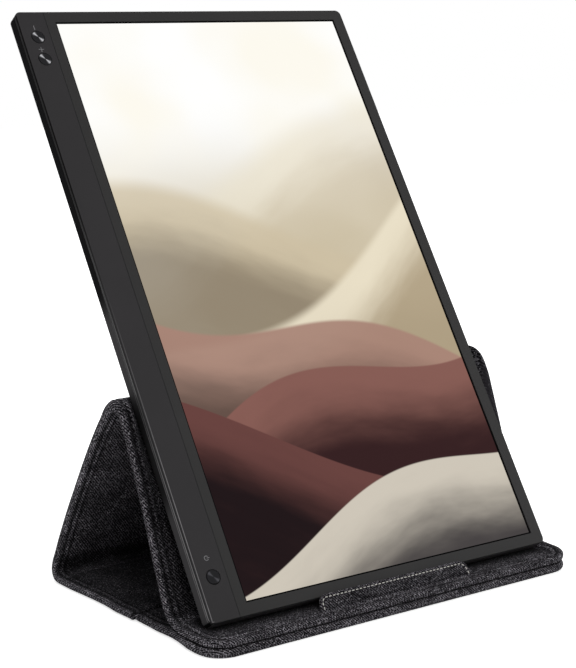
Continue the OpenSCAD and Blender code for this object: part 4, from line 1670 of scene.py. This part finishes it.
@dataclass
class ButtonMarks:
    """Thin printed signs beside the buttons, upright when the monitor lies on its long side.

    Attributes:
        stroke: Width of a stroke.
        size: Length of the bars.
        ring: Outer diameter of the power sign's ring.
        film: Thickness of the ink.
        over: Height of the ink's middle over the face.
        places: Each sign and its middle: from the left side, and from the lower edge.
    """

    stroke: float = 0.38 * MM
    size: float = 3.1 * MM
    ring: float = 2.7 * MM
    film: float = 0.05 * MM
    over: float = 0.03 * MM
    places: tuple[tuple[Mark, float, float], ...] = (
        (Mark.MINUS, 9.1 * MM, 349.2 * MM),
        (Mark.PLUS, 9.3 * MM, 335.1 * MM),
        (Mark.POWER, 9.2 * MM, 33.6 * MM))

    def build(self, ink: bpy.types.Material) -> None:
        """Builds each sign and lays it on the face.

        Args:
            ink: The pale ink.
        """
        for mark, across, up in self.places:
            if mark is Mark.POWER:
                strokes = [self._ring(), self._bar(self.ring * 0.36, 0.0, self.ring * 0.6)]
            else:
                strokes = [self._bar(0.0, 0.0, self.size, upright=True)]
            if mark is Mark.PLUS:
                strokes.append(self._bar(0.0, 0.0, self.size))
            sign = join(strokes)
            sign.name = sign.data.name = f"mark_{mark.value}"
            wall = sign.modifiers.new("ink", "SOLIDIFY")
            wall.thickness = self.film
            wall.offset = 0
            apply_modifiers(sign)
            flat = coordinates(sign)
            turned = flat @ np.array([RIGHT, UP_FACE, OUT_OF_FACE])
            move_to(sign, turned + np.array(on_face(across, up, self.over)))
            dress(sign, ink)
            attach(sign, "monitor")
            LOG.info("%s: %d faces", sign.name, len(sign.data.polygons))

    def _bar(self, x: float, y: float, length: float, upright: bool = False) -> Obj:
        """One straight stroke with rounded ends.

        Args:
            x: Its middle, across.
            y: Its middle, up.
            length: Its length.
            upright: Whether it stands upright.

        Returns:
            The flat stroke.
        """
        bpy.ops.object.select_all(action="DESELECT")
        bpy.ops.mesh.primitive_plane_add(size=1, location=(0, 0, 0))
        bar = bpy.context.object
        size = (self.stroke, length) if upright else (length, self.stroke)
        move_to(bar, coordinates(bar) * np.array([*size, 1]) + np.array([x, y, 0]))
        bpy.ops.object.mode_set(mode="EDIT")
        bpy.ops.mesh.select_all(action="SELECT")
        bpy.ops.mesh.bevel(offset=self.stroke * 0.4, segments=3, affect="VERTICES")
        bpy.ops.object.mode_set(mode="OBJECT")
        return bar

    def _ring(self) -> Obj:
        """The ring of the power sign, open at its right.

        Returns:
            The flat ring.
        """
        bpy.ops.object.select_all(action="DESELECT")
        bpy.ops.mesh.primitive_circle_add(vertices=40, radius=self.ring / 2, fill_type="NOTHING")
        ring = bpy.context.object
        bpy.ops.object.mode_set(mode="EDIT")
        bpy.ops.mesh.select_mode(type="EDGE")
        bpy.ops.mesh.select_all(action="SELECT")
        bpy.ops.mesh.extrude_region_move()
        inner = 1 - 2 * self.stroke / self.ring
        bpy.ops.transform.resize(value=(inner, inner, 1))
        bpy.ops.mesh.select_mode(type="FACE")
        bpy.ops.mesh.select_all(action="DESELECT")
        bpy.ops.object.mode_set(mode="OBJECT")
        for face in ring.data.polygons:
            face.select = face.center.x > 0 and abs(face.center.y) < self.ring * 0.24
        bpy.ops.object.mode_set(mode="EDIT")
        bpy.ops.mesh.delete(type="FACE")
        bpy.ops.mesh.select_all(action="SELECT")
        bpy.ops.mesh.normals_make_consistent(inside=False)
        bpy.ops.object.mode_set(mode="OBJECT")
        return ring


# ---------------------------------------------------------------------------------------------
# Carried-over nodes
# ---------------------------------------------------------------------------------------------
class Electronics:
    """The monitor's nodes that keep their own shape, each with its finish."""

    def __init__(self) -> None:
        """Lists the finishes by node."""
        # Painted highlights on the rear cover's sides, standing in for reflections: lower end, upper end and
        # strength
        held = ((0, 55 * MM, 0.26), (85 * MM, 115 * MM, 0.08), (135 * MM, 165 * MM, 0.28))
        plastic = MouldedPlastic("case_plastic", (12, 12, 13), 0.6, 0.08, 1.15, highlight_from=-2.7 * MM,
                                 highlight_to=-2.6 * MM, held=held)
        board = PlainPart("solder_mask", (38, 92, 52), 0.35)
        steel = PlainPart("pressed_steel", (165, 167, 170), 0.35, 0.9)
        screw = PlainPart("blackened_screw", (70, 70, 73), 0.4, 0.9)
        film = PlainPart("white_film", (235, 235, 230), 0.6)
        self.finishes = (
            (plastic, ("rear_cover",)),
            (MouldedPlastic("frame_plastic", (31, 30, 30), 0.52, lip=0.6), ("front_bezel",)),
            (MouldedPlastic("chin_plastic", (31, 29, 31), 0.54, lip=0.75), ("chin_cover",)),
            (LitScreen(), ("lcd_glass",)),
            (PlainPart("foam", (30, 30, 30), 0.95), ("bezel_gasket",)),
            (film, ("diffuser_sheet", "reflector_sheet")),
            (PlainPart("clear_guide", (215, 230, 234), 0.15), ("light_guide",)),
            (PlainPart("led_strip", (232, 222, 170), 0.5), ("led_bar",)),
            (steel, ("lcd_frame", "shield_can", "usb_c_port")),
            (board, ("panel_driver_board", "main_board", "key_board", "power_key_board")),
            (PlainPart("flex_film", (176, 112, 48), 0.3), ("panel_flex",)),
            (PlainPart("switch_plastic", (30, 30, 31), 0.5), ("key_switches",)),
            (screw, ("case_screws", "board_screws")),
            (PlainPart("fibre_board", (138, 132, 126), 0.9, 0.0, 300.0), (
                "base_front_board", "base_rear_board", "back_board", "support_board", "ledge_board")),
            (PlainPart("magnet_plate", (182, 182, 187), 0.3, 0.95), ("base_magnets", "ledge_magnets")),
            (PlainPart("tab_core", (200, 196, 184), 0.7), ("tab_stiffener",)),
            (SpunMetal("power_cap", (22, 22, 24), (66, 66, 70), on_face(BUTTON_IN, POWER_UP)),
             ("power_button",)),
            (SpunMetal("plus_cap", (27, 27, 29), (196, 196, 200), on_face(BUTTON_IN, PLUS_UP)),
             ("plus_button",)),
            (SpunMetal("minus_cap", (27, 27, 29), (196, 196, 200), on_face(BUTTON_IN, MINUS_UP)),
             ("minus_button",)))

    def dress(self) -> None:
        """Gives each node its finish and reports it."""
        for finish, names in self.finishes:
            material = finish.material()
            for name in names:
                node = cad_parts[name]
                node.data.materials.clear()
                node.data.materials.append(material)
                LOG.info("%s: %s", name, finish.name)


# ---------------------------------------------------------------------------------------------
# Studio
# ---------------------------------------------------------------------------------------------
@dataclass
class Studio:
    """Pale floor, soft light and the camera.

    Attributes:
        place: The camera's place.
        heading: Its turn about the vertical.
        pitch: How far it looks down.
        roll: Its roll.
        lens: Its focal length, in millimetres.
        surround: Strength of the white surround.
        under: How far the floor lies under the object.
        pool: Where the floor's shade round the object starts to fade, and where it has gone.
        lamps: Each lamp's name, place, size and power.
        aim: Where the lamps point.
    """

    place: tuple[float, float, float] = (-528.94 * MM, -748.34 * MM, 292.78 * MM)
    heading: float = math.radians(-34.60)
    pitch: float = math.radians(9.514)
    roll: float = math.radians(1.341)
    lens: float = 89.64
    surround: float = 0.38
    under: float = 0.05 * MM
    pool: tuple[float, float] = (0.13, 0.34)
    lamps: tuple[tuple[str, tuple[float, float, float], float, float], ...] = (
        ("key", (-0.5, -1.5, 1.5), 0.9, 15.5), ("fill", (1.4, -1.0, 0.9), 1.2, 6.0),
        ("back", (0.4, 1.5, 1.6), 1.4, 11.0))
    aim: tuple[float, float, float] = (0.0, 0.0, 0.12)

    def camera(self) -> None:
        """Makes the camera from its place and its three angles."""
        data = bpy.data.cameras.new("camera")
        data.lens = self.lens
        data.sensor_width = 36
        data.clip_end = 50
        camera = bpy.data.objects.new("camera", data)
        bpy.context.scene.collection.objects.link(camera)
        ahead = Vector((-math.sin(self.heading) * math.cos(self.pitch),
                        math.cos(self.heading) * math.cos(self.pitch), -math.sin(self.pitch)))
        right = Vector((math.cos(self.heading), math.sin(self.heading), 0))
        up = right.cross(ahead)
        x = right * math.cos(self.roll) - up * math.sin(self.roll)
        y = right * math.sin(self.roll) + up * math.cos(self.roll)
        turn = Matrix((x, y, -ahead)).transposed().to_4x4()
        camera.matrix_world = Matrix.Translation(self.place) @ turn
        bpy.context.scene.camera = camera

    def floor(self) -> None:
        """Lays the pale floor, which fades to white away from the object."""
        bpy.ops.object.select_all(action="DESELECT")
        bpy.ops.mesh.primitive_plane_add(size=12, location=(0, 0, -self.under))
        floor = bpy.context.object
        floor.name = "floor"
        g = Graph("pale_floor")
        path = g.tree.nodes.new("ShaderNodeLightPath")
        seen = g.math("MAXIMUM", path.outputs["Is Camera Ray"],
                      g.math("MAXIMUM", path.outputs["Is Glossy Ray"], path.outputs["Is Transmission Ray"]))
        place = g.place()
        x, y = g.dot(place, RIGHT), g.dot(place, Vector((0.0, 1.0, 0.0)))
        away = g.math("SQRT", g.total(g.product(x, x), g.product(y, y)))
        lift = g.ramp(away, *self.pool, 0.66, 1.0)
        g.set(Base_Color=rgba((238, 238, 238)), Roughness=0.9, Specular_IOR_Level=0.0,
              Emission_Color=rgba((255, 255, 255)), Emission_Strength=g.product(seen, lift))
        floor.data.materials.append(g.material)

    def light(self) -> None:
        """Sets a white surround and three soft lamps."""
        world = bpy.data.worlds.new("surround")
        bpy.context.scene.world = world
        world.use_nodes = True
        tree = world.node_tree
        tree.nodes.clear()
        out = tree.nodes.new("ShaderNodeOutputWorld")
        sky = tree.nodes.new("ShaderNodeBackground")
        path = tree.nodes.new("ShaderNodeLightPath")
        seen = path.outputs["Is Camera Ray"]
        for kind in ("Is Glossy Ray", "Is Transmission Ray"):
            either = tree.nodes.new("ShaderNodeMath")
            either.operation = "MAXIMUM"
            tree.links.new(seen, either.inputs[0])
            tree.links.new(path.outputs[kind], either.inputs[1])
            seen = either.outputs[0]
        strength = tree.nodes.new("ShaderNodeMapRange")
        tree.links.new(seen, strength.inputs[0])
        strength.inputs["To Min"].default_value = self.surround
        strength.inputs["To Max"].default_value = 1.0
        tree.links.new(strength.outputs[0], sky.inputs["Strength"])
        tree.links.new(sky.outputs[0], out.inputs[0])
        sky.inputs["Color"].default_value = (1, 1, 1, 1)
        for name, where, size, power in self.lamps:
            lamp = bpy.data.lights.new(name, "AREA")
            lamp.size = size
            lamp.energy = power
            obj = bpy.data.objects.new(name, lamp)
            bpy.context.scene.collection.objects.link(obj)
            obj.location = where
            obj.rotation_euler = (Vector(self.aim) - Vector(where)).to_track_quat("-Z", "Y").to_euler()


def main() -> None:
    """Builds the camera, the cover, the monitor and the studio, in that order."""
    logging.basicConfig(level=logging.INFO, format="%(name)s: %(message)s")
    studio = Studio()
    studio.camera()
    bpy.context.scene.view_settings.view_transform = "Standard"
    twill = MelangeTwill("cover_twill").material()
    FoldingCover().build(twill)
    StopTab().build(twill, PlainPart("pale_thread", (238, 236, 230), 0.8, 0.0, 4000.0).material())
    Electronics().dress()
    ButtonMarks().build(PlainPart("pale_ink", (120, 120, 122), 0.6, 0.0, 3000.0).material())
    studio.floor()
    studio.light()


if __name__ == "__main__":
    main()
